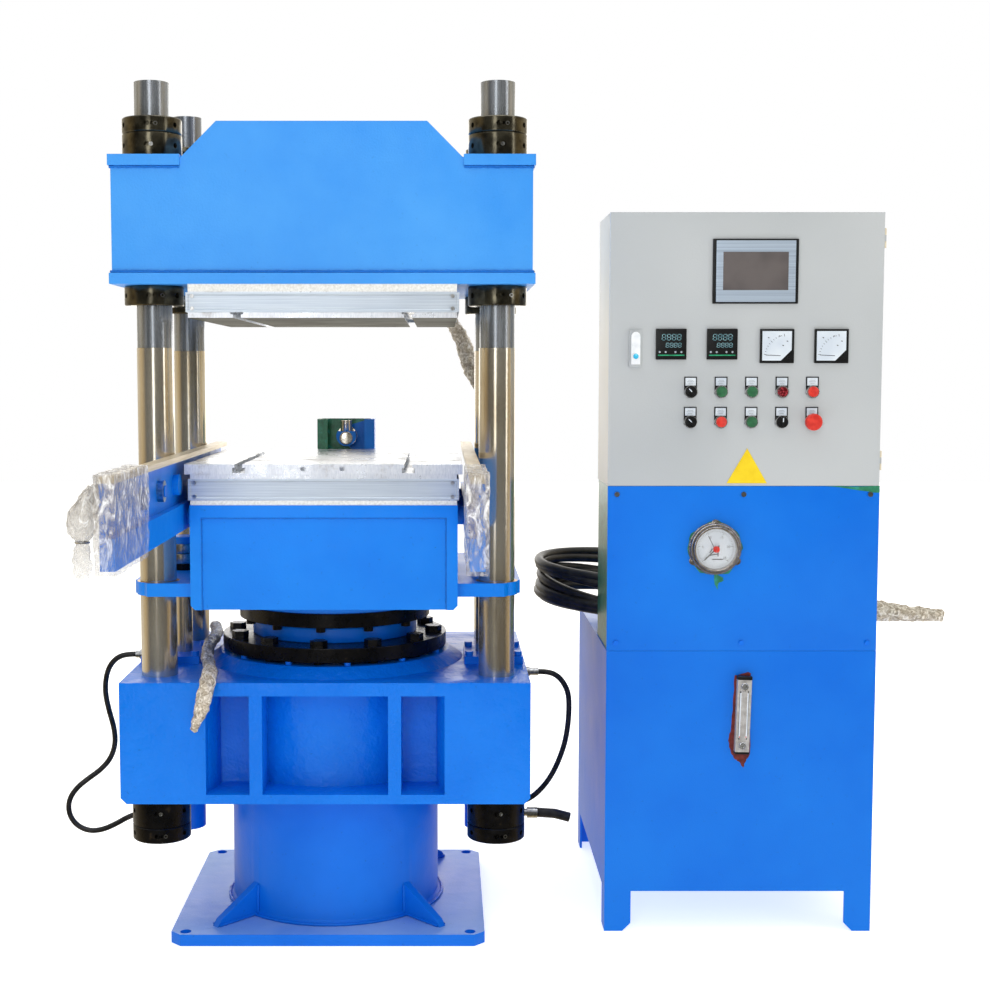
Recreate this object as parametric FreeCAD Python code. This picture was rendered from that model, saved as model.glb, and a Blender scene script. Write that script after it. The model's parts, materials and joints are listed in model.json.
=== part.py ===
"""Rubber mould vulcanising press with its free-standing hydraulic and control cabinet.

Frame: millimetres, +Z up, origin on the floor at the centre of the press's base bolt
pattern, +X to the right and -Y towards the operator.
"""
import FreeCAD
import Part
import math
import os

Vector = FreeCAD.Vector

# ---------------------------------------------------------------- driving dimensions
# fits and clearances
FIT = 0.3                 # static clearance round a bolt, tube or rod that passes a hole
RUN = 0.08                # radial running clearance of a guide or pivot
GAP = 0.4                 # air between parts that move past each other

# depth shared by both beams, the table and the plates between them
PRESS_D = 712.0

# base and pedestal
BASE_W = 745.0
BASE_D = 650.0
BASE_T = 28.0
BASE_CORNER = 25.0
BASE_HOLE_R = 13.0
BASE_HOLE_IN_X = 35.0     # hole centre behind the plate's edge
BASE_HOLE_IN_Y = 22.5
PEDESTAL_R = 260.0
PEDESTAL_WALL = 18.0
PEDESTAL_H = 323.0
GUSSET_TIP_IN = 109.3493    # gusset tip short of the plate's corner
GUSSET_H = 85.0
GUSSET_T = 20.0
UPPER_GUSSET_W = 40.0
UPPER_GUSSET_H = 45.0

# columns and their nuts
COLUMN_AIR = 7.5          # column off the feed rail
COLUMN_Y = 247.5          # half spacing from front to back
COLUMN_LOW_R = 42.5
COLUMN_MID_R = 41.0
COLUMN_END_R = 40.0
COLUMN_STEP = 143.0       # step below the upper beam
COLUMN_TOP_OVER = 83.0    # column end above its locknut
COLUMN_TAIL = 3.0
NUT_R = 68.5
NUT_CHAMFER = 2.5
NUT_TALL = 57.0
NUT_THIN = 36.0
NUT_FOOT = 72.0
NUT_COLLAR = 46.0
SPANNER_R = 6.0
SPANNER_DEPTH = 14.0
SPANNER_COUNT = 6
SET_SCREW_R = 4.0

# lower beam, a casting
BEAM_EDGE = 76.0          # beam side outside the column's axis
BEAM_H = 285.0
BEAM_CHAMFER = 14.0
BOSS_TOP_R = 288.0
BOSS_FOOT_R = 322.0
BOSS_H = 24.0
WINDOW_LOW = 22.0         # rail under the windows
WINDOW_HIGH = 31.0        # rail over them
WINDOW_MID_W = 292.0
WINDOW_RIB = 30.0
WINDOW_SIDE_W = 101.0
WINDOW_DEPTH = 118.0
CORE_R = 285.0            # cylinder wall seen in the middle window
COLUMN_BOSS_R = 142.0     # column wall seen in the side windows

# main cylinder, ram and their rings
CYLINDER_R = 232.0
CYLINDER_BORE_R = 206.0
CYLINDER_FLOOR = 60.0
CYLINDER_LIP = 8.0        # cylinder end above the beam's boss
BUSH_WALL = 5.5
BUSH_H = 150.0
RAM_R = 200.0
RAM_END_GAP = 12.0        # ram end above the cylinder floor at rest
GLAND_R = 281.0
GLAND_T = 34.0
GLAND_BOLT_R = 250.0
GLAND_BOLT_COUNT = 12
GLAND_BOLT_TURN = -5.0    # degrees from the front
GLAND_SHANK_R = 12.0
GLAND_THREAD = 45.0
HEX_AF = 36.0
HEX_H = 15.0
REST_GAP = 42.0           # gland ring to ram ring with the table down
RAM_RING_R = 239.0
RAM_RING_T = 34.0
RAM_BOLT_R = 222.0
RAM_BOLT_COUNT = 12
RAM_BOLT_HEAD_R = 11.5
RAM_BOLT_HEAD_H = 12.0
RAM_BOLT_SHANK_R = 8.0
RAM_BOSS_R = 235.0
RAM_BOSS_T = 28.0

# moving table
TABLE_W = 614.0
TABLE_H = 242.0
TABLE_WALL = 25.0
TABLE_TOP_T = 28.0
TABLE_FACE_INSET = 6.0
TABLE_CORNER = 10.0
STROKE = 300.0
CLOSED_GAP = 32.5         # thinnest mould
EAR_EDGE_X = 56.0         # ear plate outside the column's axis
EAR_EDGE_Y = 60.5
EAR_LOW = 24.0            # ear plate above the table's underside
EAR_T = 31.0
EAR_CUT_X = 40.0
EAR_CUT_Y = 70.0
GUIDE_WALL = 7.0

# heating plates, insulation, guards
PLATE_IN = 2.0            # plate edge inside the table's side
UPPER_PLATE_T = 59.5
UPPER_BOARD_T = 17.0
LOWER_BOARD_T = 10.0
LOWER_PLATE_T = 61.0
CLAMP_OVER = 11.0         # clamp plate over the table's side
CLAMP_T = 23.0
SLOT_X = 194.0
SLOT_NECK_W = 18.0
SLOT_NECK_H = 8.0
SLOT_WIDE_W = 29.0
SLOT_WIDE_H = 12.0
PIN_HOLE_X = 45.0         # small holes in the clamp plate's front edge
PIN_HOLE_R = 4.5
PIN_HOLE_DEPTH = 20.0
GUARD_AIR = 3.0           # guard off the plate's side
GUARD_SHEET = 2.0
UPPER_GUARD_H = 45.0
UPPER_GUARD_UP = 12.5     # guard edge above the plate's face
LOWER_GUARD_H = 49.0
LOWER_GUARD_UP = 1.5
GUARD_SCREW_IN = 15.0
GUARD_SCREW_R = 4.5
GUARD_SCREW_HEAD = 3.0
GUARD_SCREW_EDGE = 8.5
HEATER_R = 8.0
HEATER_COUNT = 8
HEATER_PITCH = 68.0
HEATER_TAIL = 16.0

# upper beam, a welded box
TOP_BEAM_EDGE = 82.5
TOP_BEAM_H = 290.0        # to the shoulders
TOP_SHOULDER_IN = 80.0    # shoulder inside the column's axis
TOP_SLANT = 80.0
TOP_CROWN_H = 80.0
TOP_PLATE_T = 25.0
TOP_WALL = 30.0
TOP_INSET = 6.0
TOP_SLEEVE_R = 66.0
TOP_RIB_X = 165.0
TOP_RIB_T = 25.0
TOP_VENT_R = 35.0

# fast-lift cylinders at the sides
LIFT_IN = 25.0            # lift cylinder inside the column's axis
LIFT_Y = -40.0
LIFT_BARREL_R = 47.0
LIFT_BORE_R = 36.0
LIFT_FLOOR = 16.0
LIFT_DROP = 143.0         # barrel below the lower beam
LIFT_FLANGE_IN = 49.0
LIFT_FLANGE_OUT = 95.0
LIFT_FLANGE_FRONT = 85.0
LIFT_FLANGE_BACK = 82.0
LIFT_FLANGE_T = 19.0
LIFT_HEAD_T = 40.0
LIFT_ROD_R = 20.0
LIFT_PISTON_T = 36.0
LIFT_NUT_R = 30.0
LIFT_NUT_H = 16.0
LIFT_BOLT_INX = 12.0
LIFT_BOLT_INY = 17.0
LIFT_BOLT_AF = 17.0
LIFT_BOLT_HEAD = 11.0
LIFT_BOLT_R = 5.5
LIFT_BOLT_DEPTH = 30.0
PORT_R = 13.0             # bosses that the lift hoses screw into
PORT_OUT = 3.0
PORT_LOW = 32.0           # ports above the cylinder's end
PORT_HIGH = 60.0

# rails that the mould slides out on
RAIL_OFF = 15.0           # inner face off the table's side
RAIL_T = 28.0
RAIL_WEB_T = 12.0
RAIL_FRONT = 729.0        # rail in front of the table
RAIL_BACK = 14.0
RAIL_UP = 20.0            # rail top above the clamp plate's face
RAIL_WEB_H = 160.0
RAIL_BAR_H = 60.0
RAIL_STRIP_H = 12.0
ROLLER_R = 23.5
ROLLER_UP = 107.0
ROLLER_W = 13.5
ROLLER_BORE_R = 8.5
ROLLER_BEHIND = 32.0      # first roller behind the film's edge
ROLLER_PITCH = 190.0
ROLLER_HEAD_R = 13.0
ROLLER_HEAD_H = 2.6
SPACER_R = 22.0
SPACER_PITCH = 270.0
SPACER_UP = 28.0

# film left round the rail ends and the switch that it hides
FILM_AHEAD = 20.0
FILM_LEN = 313.0
FILM_WALL = 5.0
FILM_CLEAR = 0.3
FILM_SWITCH_W = 64.0
FILM_SWITCH_D = 90.0
FILM_SWITCH_DOWN = 5.0
FILM_SWITCH_UP = 115.0
FILM_TAIL_R = 21.0
FILM_TAIL_LEN = 88.0

# mould puller at the back of the table
PULLER_X = 7.0
PULLER_W = 157.0
PULLER_H = 82.0
PULLER_DROP = 62.0        # foot of its bracket below the clamp plate's face
PULLER_GAP = 6.0
PULLER_DEPTH = 70.0
PULLER_WALL = 12.0
PULLER_ROD_R = 27.0
PULLER_PIN_R = 16.0

# cabinet
CAB_X0 = 664.0
CAB_W = 645.0
CAB_Y0 = -225.0
TANK_D = 715.0
LEG_H = 99.0
LEG_W = 64.0
LEG_CUT = 20.0
LEG_T = 6.0
TANK_H = 588.0
TANK_WALL = 5.0
LID_T = 5.0
MID_H = 396.0
MID_D = 240.0
MID_WALL = 2.0
MID_PANEL_T = 2.0
MID_PANEL_IN = 3.0
PANEL_SCREW_R = 6.0
PANEL_SCREW_H = 3.0
PANEL_SCREW_INX = 22.0
PANEL_SCREW_INZ = 20.0
BOX_IN = 1.5
BOX_H = 642.0
BOX_D = 245.0
BOX_WALL = 2.0
BOX_RIM = 18.0
DOOR_T = 20.0
DOOR_SHEET = 2.0
DOOR_GAP = 1.0
HINGE_OFF = 4.2           # hinge axis outside the door's edge
HINGE_BACK = 13.0         # hinge axis behind the door's face
HINGE_R = 3.5
HINGE_PIN_R = 2.0
HINGE_H = 46.0
HINGE_LEAF = 2.4
HINGE_FOOT = 18.0
HINGE_UP = (37.0, 560.0)

# instruments on the door
SCREEN_IN = 341.5         # from the cabinet's left side, as the next ones
SCREEN_UP = 504.5         # above the box's floor, as the next ones
SCREEN_W = 201.0
SCREEN_H = 151.0
SCREEN_FRONT = 6.0
SCREEN_BODY = 34.0
METER_FRONT = 7.0
CONTROLLER_IN = (145.5, 265.5)
CONTROLLER_UP = 334.5
CONTROLLER_W = 72.0
CONTROLLER_BODY = 80.0
AMMETER_IN = (394.5, 522.5)
AMMETER_UP = 330.0
AMMETER_W = 80.0
AMMETER_BODY_R = 31.0
AMMETER_BODY = 48.0
CUTOUT_IN = 3.0           # panel cut-out inside an instrument's front frame
KEY_IN = 193.0
KEY_PITCH_X = 71.8
KEY_PITCH_Z = 71.0
KEY_UP = 223.0
KEY_HOLE_R = 11.2
COLLAR_R = 15.0
COLLAR_H = 9.0
COLLAR_BORE_R = 9.6
KEY_R = 9.2
KEY_TRAVEL = 3.0
KEY_LEFT_OUT = 0.5        # button face above its collar when pressed
KEY_STEM = 24.0
LEGEND_W = 30.0
LEGEND_H = 50.0
LEGEND_T = 1.6
LEGEND_UP = 10.0
BLOCK_W = 26.0
BLOCK_D = 34.0
LEVER_R = 11.5
LEVER_PROUD = 14.0
LEVER_W = 7.0
ESTOP_R = 20.0
ESTOP_H = 14.0
ESTOP_TRAVEL = 5.0
LOCK_IN = 61.5
LOCK_UP = 281.0
LOCK_H = 86.0
LOCK_W = 29.0
LOCK_BASE_T = 6.0
LOCK_LEVER_T = 8.0
LOCK_LEVER_W = 21.0
LOCK_PIVOT_R = 7.0
LOCK_CAM = 40.0
SIGN_IN = 329.0
SIGN_UP = 6.0
SIGN_W = 97.0
SIGN_T = 1.0

# gauge and sight glass
GAUGE_IN = 256.0
GAUGE_UP = 247.0          # above the tank's lid
GAUGE_FLANGE_R = 63.0
GAUGE_CASE_R = 54.0
GAUGE_DIAL_R = 48.5
GAUGE_FRONT = 22.0
GAUGE_BODY = 55.0
GAUGE_DIAL_DEPTH = 13.0
POINTER_LEN = 38.0
POINTER_TAIL = 12.0
POINTER_T = 1.2
GAUGE_KNOB_R = 7.5
GAUGE_KNOB_H = 9.0
LEVEL_IN = 327.0
LEVEL_UP = 343.0          # above the tank's floor
LEVEL_H = 185.0
LEVEL_W = 34.0
LEVEL_D = 18.0
LEVEL_TILT = 1.5
LEVEL_SCREW_IN = 17.0
LEVEL_TUBE_R = 9.0

# pump unit on the tank
MOTOR_IN = 531.0
MOTOR_BEHIND = 495.0      # behind the cabinet's face, as the next ones
MOTOR_R = 85.0
MOTOR_H = 250.0
MOTOR_FAN_H = 55.0
MOTOR_FLANGE_R = 105.0
MOTOR_FLANGE_T = 18.0
MOTOR_STAND = 90.0
VALVE_IN = 341.0
VALVE_W = 80.0
VALVE_BEHIND = 375.0
VALVE_PITCH = 60.0
VALVE_H = 90.0
VALVE_R = 24.0
VALVE_LEN = 120.0
FILLER_IN = 376.0
FILLER_BEHIND = 655.0
FILLER_R = 38.0
FILLER_H = 62.0

# hoses and wrapped cable tails
HOSE_R = 6.8
COIL_IN = 76.0
COIL_BEHIND = 483.0
COIL_OUT_R = 222.0
COIL_IN_R = 120.0
COIL_H = 178.0
COIL_HOSE_R = 12.5
COIL_EXIT_UP = 45.0
TAIL_R = 15.0
UPPER_TAIL_R = 19.0
SIDE_TAIL_R = 22.0
FERRULE_R = 9.0
FERRULE_NUT_R = 12.0
STUB_R = 12.0             # capped elbow in the right cylinder's low port
STUB_NIPPLE_R = 9.0
STUB_NUT_R = 14.0
STUB_NUT_OUT = 61.0       # places along the elbow, out from the port's face
STUB_BEND_OUT = (87.0, 131.0, 169.0)
STUB_DROP = (0.0, 3.0, 13.0)
UPPER_TAIL_IN = 46.0      # upper cable tail inside the guard's end
UPPER_TAIL_UP = 35.5      # and above the plate's face
GEAR_DEPTH = 60.0         # switchgear in the box
GEAR_RAIL_T = 8.0

# ---------------------------------------------------------------- levels that follow
plate_w = TABLE_W - 2 * PLATE_IN
plate_d = PRESS_D - 2 * GUARD_SHEET
guard_w = plate_w + 2 * (GUARD_AIR + GUARD_SHEET)
clamp_w = TABLE_W + 2 * CLAMP_OVER
rail_in = TABLE_W / 2 + RAIL_OFF
rail_out = rail_in + RAIL_T
column_x = rail_out + COLUMN_AIR + COLUMN_LOW_R
beam_w = 2 * (column_x + BEAM_EDGE)
top_beam_w = 2 * (column_x + TOP_BEAM_EDGE)
top_shoulder_x = column_x - TOP_SHOULDER_IN
top_crown_x = top_shoulder_x - TOP_SLANT
ear_half_x = column_x + EAR_EDGE_X
ear_half_y = COLUMN_Y + EAR_EDGE_Y
lift_x = column_x - LIFT_IN
lift_flange_x = (lift_x - LIFT_FLANGE_IN, lift_x + LIFT_FLANGE_OUT)
lift_flange_y = (LIFT_Y - LIFT_FLANGE_FRONT, LIFT_Y + LIFT_FLANGE_BACK)
base_top = BASE_T
beam_low = base_top + PEDESTAL_H
base_hole_x = BASE_W / 2 - BASE_HOLE_IN_X
base_hole_y = BASE_D / 2 - BASE_HOLE_IN_Y
gusset_tip_r = math.hypot(BASE_W / 2, BASE_D / 2) - GUSSET_TIP_IN
beam_top = beam_low + BEAM_H
boss_top = beam_top + BOSS_H
cylinder_top = boss_top + CYLINDER_LIP
gland_top = cylinder_top + GLAND_T
ram_ring_low = gland_top + REST_GAP
ram_top = ram_ring_low + RAM_RING_T
table_low = ram_top + RAM_BOSS_T
table_top = table_low + TABLE_H
lower_plate_low = table_top + LOWER_BOARD_T
clamp_low = lower_plate_low + LOWER_PLATE_T
clamp_top = clamp_low + CLAMP_T
upper_plate_low = clamp_top + STROKE + CLOSED_GAP
upper_plate_top = upper_plate_low + UPPER_PLATE_T
top_beam_low = upper_plate_top + UPPER_BOARD_T
shoulder = top_beam_low + TOP_BEAM_H
crown = shoulder + TOP_CROWN_H
column_top = shoulder + NUT_TALL + NUT_THIN + COLUMN_TOP_OVER
column_low = beam_low - NUT_FOOT - NUT_THIN - COLUMN_TAIL
ear_low = table_low + EAR_LOW
ear_top = ear_low + EAR_T
lift_low = beam_low - LIFT_DROP
column_step = top_beam_low - COLUMN_STEP
guard_screw_x = guard_w / 2 - GUARD_SCREW_IN
rail_web_top = clamp_top + RAIL_UP - RAIL_STRIP_H
rail_low = rail_web_top - RAIL_WEB_H
rail_y0 = -PRESS_D / 2 - RAIL_FRONT
rail_y1 = PRESS_D / 2 + RAIL_BACK
film_y0 = rail_y0 - FILM_AHEAD
film_y1 = film_y0 + FILM_LEN
roller_z = rail_low + ROLLER_UP
roller_y = film_y1 + ROLLER_BEHIND
spacer_z = rail_low + SPACER_UP
switch_out = rail_out + FILM_SWITCH_W
switch_low = rail_low - FILM_SWITCH_DOWN
switch_high = rail_low + FILM_SWITCH_UP
port_low = lift_low + PORT_LOW
port_high = lift_low + PORT_HIGH
port_face = lift_x + LIFT_BARREL_R + PORT_OUT
lift_ports = {-1: [port_low], 1: [port_low, port_high]}

cab_x1 = CAB_X0 + CAB_W
tank_low = LEG_H
tank_top = tank_low + TANK_H
mid_top = tank_top + MID_H
box_top = mid_top + BOX_H
door_back = CAB_Y0 + DOOR_T
box_x0 = CAB_X0 + BOX_IN
box_x1 = cab_x1 - BOX_IN
box_y1 = CAB_Y0 + BOX_D
hinge_x = box_x1 + HINGE_OFF
hinge_y = CAB_Y0 + HINGE_BACK
screen_x, screen_z = CAB_X0 + SCREEN_IN, mid_top + SCREEN_UP
controller_x = [CAB_X0 + place for place in CONTROLLER_IN]
controller_z = mid_top + CONTROLLER_UP
ammeter_x = [CAB_X0 + place for place in AMMETER_IN]
ammeter_z = mid_top + AMMETER_UP
key_x0, key_top_z = CAB_X0 + KEY_IN, mid_top + KEY_UP
lock_x, lock_low = CAB_X0 + LOCK_IN, mid_top + LOCK_UP
lock_high = lock_low + LOCK_H
sign_x, sign_low = CAB_X0 + SIGN_IN, mid_top + SIGN_UP
hinge_levels = [mid_top + place for place in HINGE_UP]
gauge_x, gauge_z = CAB_X0 + GAUGE_IN, tank_top + GAUGE_UP
level_x, level_low = CAB_X0 + LEVEL_IN, tank_low + LEVEL_UP
motor_x, motor_y = CAB_X0 + MOTOR_IN, CAB_Y0 + MOTOR_BEHIND
valve_x0, valve_y0 = CAB_X0 + VALVE_IN, CAB_Y0 + VALVE_BEHIND
valve_x1, valve_y1 = valve_x0 + VALVE_W, valve_y0 + 3 * VALVE_PITCH
filler_x, filler_y = CAB_X0 + FILLER_IN, CAB_Y0 + FILLER_BEHIND
coil_x, coil_y = CAB_X0 + COIL_IN, CAB_Y0 + COIL_BEHIND

SIDES = (-1, 1)
CORNERS = [(sx, sy) for sx in SIDES for sy in SIDES]
UP = Vector(0, 0, 1)
BACK = Vector(0, 1, 0)
RIGHT = Vector(1, 0, 0)


# ---------------------------------------------------------------- helpers
def block(x0, x1, y0, y1, z0, z1):
    """Box between two corners, given in any order."""
    low = Vector(min(x0, x1), min(y0, y1), min(z0, z1))
    return Part.makeBox(abs(x1 - x0), abs(y1 - y0), abs(z1 - z0), low)


def rod(radius, start, end):
    """Round bar between two points."""
    a, b = Vector(*start), Vector(*end)
    return Part.makeCylinder(radius, (b - a).Length, a, b - a)


def pipe(outer, inner, start, end):
    """Tube between two points."""
    return rod(outer, start, end).cut(rod(inner, start, end))


def prism(points, direction):
    """Closed flat outline, given as 3-D points, pushed along a vector."""
    corners = [Vector(*p) for p in points]
    return Part.Face(Part.makePolygon(corners + [corners[0]])).extrude(Vector(*direction))


def hexagon(flats, height, centre, turn=0.0):
    """Hexagonal bolt head standing up from a centre."""
    reach = flats / math.sqrt(3.0)
    x, y, z = centre
    ring = [(x + reach * math.cos(math.radians(60 * k + turn)),
             y + reach * math.sin(math.radians(60 * k + turn)), z) for k in range(6)]
    return prism(ring, (0, 0, height))


def mirror_x(shape):
    """The same shape on the other side of the centre plane."""
    return shape.mirror(Vector(0, 0, 0), RIGHT)


def fuse(shapes):
    """One solid from touching or crossing ones."""
    return shapes[0].fuse(list(shapes[1:])).removeSplitter()


def cut(shape, tools):
    """A shape less its holes."""
    return shape.cut(list(tools))


def save(name, shapes):
    """Write one sub-part: a shape or a list of separate solids."""
    group = shapes if isinstance(shapes, (list, tuple)) else [shapes]
    solids = [solid for shape in group for solid in shape.Solids]
    for solid in solids:
        if not solid.isValid() or solid.Volume <= 0:
            raise ValueError("bad solid in " + name)
    shape = solids[0] if len(solids) == 1 else Part.makeCompound(solids)
    shape.exportStep("parts/" + name + ".step")


def hose(name, points, radius):
    """Tube along straight runs joined by the largest tangent arcs that the runs allow."""
    route = [Vector(*p) for p in points]
    edges = []
    radii = []
    here = route[0]
    for before, corner, after in zip(route, route[1:], route[2:]):
        along = (corner - before).normalize()
        onward = (after - corner).normalize()
        half = along.getAngle(onward) / 2.0
        back = 0.45 * min((corner - before).Length, (after - corner).Length)
        start, end = corner - along * back, corner + onward * back
        radii.append(back / math.tan(half))
        bisector = (onward - along).normalize()
        middle = corner + bisector * radii[-1] * (1.0 / math.cos(half) - 1.0)
        edges.append(Part.LineSegment(here, start).toShape())
        edges.append(Part.Arc(start, middle, end).toShape())
        here = end
    edges.append(Part.LineSegment(here, route[-1]).toShape())
    path = Part.Wire(edges)
    heading = route[1] - route[0]
    section = Part.Wire(Part.makeCircle(radius, route[0], heading))
    tube = path.makePipeShell([section], True, True)
    expected = math.pi * radius ** 2 * path.Length
    print("%s: length %.0f, smallest bend radius %.0f, volume ratio %.4f"
          % (name, path.Length, min(radii), tube.Volume / expected))
    return tube


# ---------------------------------------------------------------- press frame
def base_pedestal():
    half_w, half_d = BASE_W / 2, BASE_D / 2
    c = BASE_CORNER
    outline = [(-half_w + c, -half_d, 0), (half_w - c, -half_d, 0),
               (half_w, -half_d + c, 0), (half_w, half_d - c, 0),
               (half_w - c, half_d, 0), (-half_w + c, half_d, 0),
               (-half_w, half_d - c, 0), (-half_w, -half_d + c, 0)]
    plate = prism(outline, (0, 0, BASE_T))
    shapes = [plate, rod(PEDESTAL_R, (0, 0, base_top), (0, 0, beam_low))]
    foot = PEDESTAL_R - PEDESTAL_WALL / 2
    for turn in (45, 135, 225, 315):
        gusset = prism([(foot, -GUSSET_T / 2, base_top), (gusset_tip_r, -GUSSET_T / 2, base_top),
                        (gusset_tip_r - 12, -GUSSET_T / 2, base_top + 16),
                        (foot, -GUSSET_T / 2, base_top + GUSSET_H)], (0, GUSSET_T, 0))
        gusset.rotate(Vector(0, 0, 0), UP, turn)
        shapes.append(gusset)
    for turn in (0, 180):
        ear = prism([(foot, -GUSSET_T / 2, beam_low),
                     (foot, -GUSSET_T / 2, beam_low - UPPER_GUSSET_H),
                     (PEDESTAL_R + UPPER_GUSSET_W, -GUSSET_T / 2, beam_low)], (0, GUSSET_T, 0))
        ear.rotate(Vector(0, 0, 0), UP, turn)
        shapes.append(ear)
    weld = Part.makeCone(PEDESTAL_R + 12, PEDESTAL_R, 12, Vector(0, 0, base_top))
    body = fuse(shapes + [weld])
    bore = rod(PEDESTAL_R - PEDESTAL_WALL, (0, 0, base_top), (0, 0, beam_low))
    holes = [rod(BASE_HOLE_R, (sx * base_hole_x, sy * base_hole_y, -1),
                 (sx * base_hole_x, sy * base_hole_y, base_top + 1))
             for sx, sy in CORNERS]
    save("base_pedestal", cut(body, [bore] + holes))


def window_pocket(x0, x1, side, walls):
    """Pocket in the beam's front or back face, stopped by the round walls behind it."""
    face = side * PRESS_D / 2
    pocket = block(x0, x1, face + side, face - side * WINDOW_DEPTH,
                   beam_low + WINDOW_LOW, beam_top - WINDOW_HIGH)
    return cut(pocket, walls)


def lower_beam():
    half_w, half_d, c = beam_w / 2, PRESS_D / 2, BEAM_CHAMFER
    outline = [(-half_w + c, -half_d, beam_low), (half_w - c, -half_d, beam_low),
               (half_w, -half_d, beam_low + c), (half_w, -half_d, beam_top),
               (-half_w, -half_d, beam_top), (-half_w, -half_d, beam_low + c)]
    casting = prism(outline, (0, PRESS_D, 0))
    boss = Part.makeCone(BOSS_FOOT_R, BOSS_TOP_R, BOSS_H, Vector(0, 0, beam_top))
    tools = [rod(CYLINDER_R + FIT, (0, 0, beam_low - 1), (0, 0, boss_top + 1))]
    core = rod(CORE_R, (0, 0, beam_low), (0, 0, beam_top))
    for side in SIDES:
        half = WINDOW_MID_W / 2
        tools.append(window_pocket(-half, half, side, [core]))
        for across in SIDES:
            wall = rod(COLUMN_BOSS_R, (across * column_x, side * COLUMN_Y, beam_low),
                       (across * column_x, side * COLUMN_Y, beam_top))
            inner = across * (half + WINDOW_RIB)
            outer = across * (half + WINDOW_RIB + WINDOW_SIDE_W)
            tools.append(window_pocket(inner, outer, side, [core, wall]))
    for sx, sy in CORNERS:
        x, y = sx * column_x, sy * COLUMN_Y
        tools.append(rod(COLUMN_END_R + FIT, (x, y, beam_low - 1), (x, y, beam_top + 1)))
    for side in SIDES:
        x = side * lift_x
        tools.append(rod(LIFT_BARREL_R + FIT, (x, LIFT_Y, beam_low - 1),
                         (x, LIFT_Y, beam_top + 1)))
        for bx, by in lift_bolt_places():
            tools.append(rod(LIFT_BOLT_R, (side * bx, by, beam_top - LIFT_BOLT_DEPTH),
                             (side * bx, by, beam_top + 1)))
    for x, y in ring_places(GLAND_BOLT_R, GLAND_BOLT_COUNT):
        tools.append(rod(GLAND_SHANK_R, (x, y, boss_top - GLAND_THREAD), (x, y, boss_top + 1)))
    save("lower_beam", cut(fuse([casting, boss]), tools))


def ring_places(radius, count):
    """Bolt places on a circle, counted from the front."""
    turns = [math.radians(GLAND_BOLT_TURN - 90 + 360 * k / count) for k in range(count)]
    return [(radius * math.cos(t), radius * math.sin(t)) for t in turns]


def lift_bolt_places():
    """Bolt places in a lift cylinder's flange, on the right-hand side."""
    return [(x, y) for x in (lift_flange_x[0] + LIFT_BOLT_INX, lift_flange_x[1] - LIFT_BOLT_INX)
            for y in (lift_flange_y[0] + LIFT_BOLT_INY, lift_flange_y[1] - LIFT_BOLT_INY)]


def main_cylinder():
    body = rod(CYLINDER_R, (0, 0, base_top), (0, 0, cylinder_top))
    bore_low = base_top + CYLINDER_FLOOR
    bore = rod(CYLINDER_BORE_R, (0, 0, bore_low), (0, 0, cylinder_top + 1))
    bush = pipe(CYLINDER_BORE_R, CYLINDER_BORE_R - BUSH_WALL,
                (0, 0, cylinder_top - BUSH_H), (0, 0, cylinder_top))
    save("main_cylinder", [body.cut(bore), bush])


def gland_ring():
    ring = pipe(GLAND_R, RAM_R + GAP, (0, 0, cylinder_top), (0, 0, gland_top))
    holes = [rod(GLAND_SHANK_R + FIT, (x, y, cylinder_top - 1), (x, y, gland_top + 1))
             for x, y in ring_places(GLAND_BOLT_R, GLAND_BOLT_COUNT)]
    save("gland_ring", cut(ring, holes))


def columns():
    shapes = []
    for sx, sy in CORNERS:
        x, y = sx * column_x, sy * COLUMN_Y
        shapes.append(fuse([
            rod(COLUMN_END_R, (x, y, column_low), (x, y, beam_top)),
            rod(COLUMN_LOW_R, (x, y, beam_top), (x, y, column_step)),
            rod(COLUMN_MID_R, (x, y, column_step), (x, y, top_beam_low)),
            rod(COLUMN_END_R, (x, y, top_beam_low), (x, y, column_top))]))
    save("columns", shapes)


def round_nut(x, y, low, height, bore):
    """Round nut with spanner holes and one set screw hole in its rim."""
    body = rod(NUT_R, (x, y, low), (x, y, low + height))
    rims = [e for e in body.Edges if abs(e.BoundBox.ZLength) < 0.01]
    body = body.makeChamfer(NUT_CHAMFER, rims)
    middle = low + height / 2
    tools = [rod(bore, (x, y, low - 1), (x, y, low + height + 1))]
    for k in range(SPANNER_COUNT):
        turn = math.radians(360 * k / SPANNER_COUNT + 30)
        way = Vector(math.cos(turn), math.sin(turn), 0)
        start = Vector(x, y, middle) + way * (NUT_R - SPANNER_DEPTH)
        tools.append(Part.makeCylinder(SPANNER_R, SPANNER_DEPTH + 1, start, way))
    turn = math.radians(-80)
    way = Vector(math.cos(turn), math.sin(turn), 0)
    start = Vector(x, y, middle) + way * (NUT_R - SPANNER_DEPTH)
    tools.append(Part.makeCylinder(SET_SCREW_R, SPANNER_DEPTH + 1, start, way))
    return cut(body, tools)


def column_nuts():
    stack = [(beam_low - NUT_FOOT, NUT_FOOT, COLUMN_END_R),
             (beam_low - NUT_FOOT - NUT_THIN, NUT_THIN, COLUMN_END_R),
             (top_beam_low - NUT_COLLAR, NUT_COLLAR, COLUMN_MID_R),
             (shoulder, NUT_TALL, COLUMN_END_R),
             (shoulder + NUT_TALL, NUT_THIN, COLUMN_END_R)]
    save("column_nuts", [round_nut(sx * column_x, sy * COLUMN_Y, low, height, radius + FIT)
                         for sx, sy in CORNERS for low, height, radius in stack])


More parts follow.
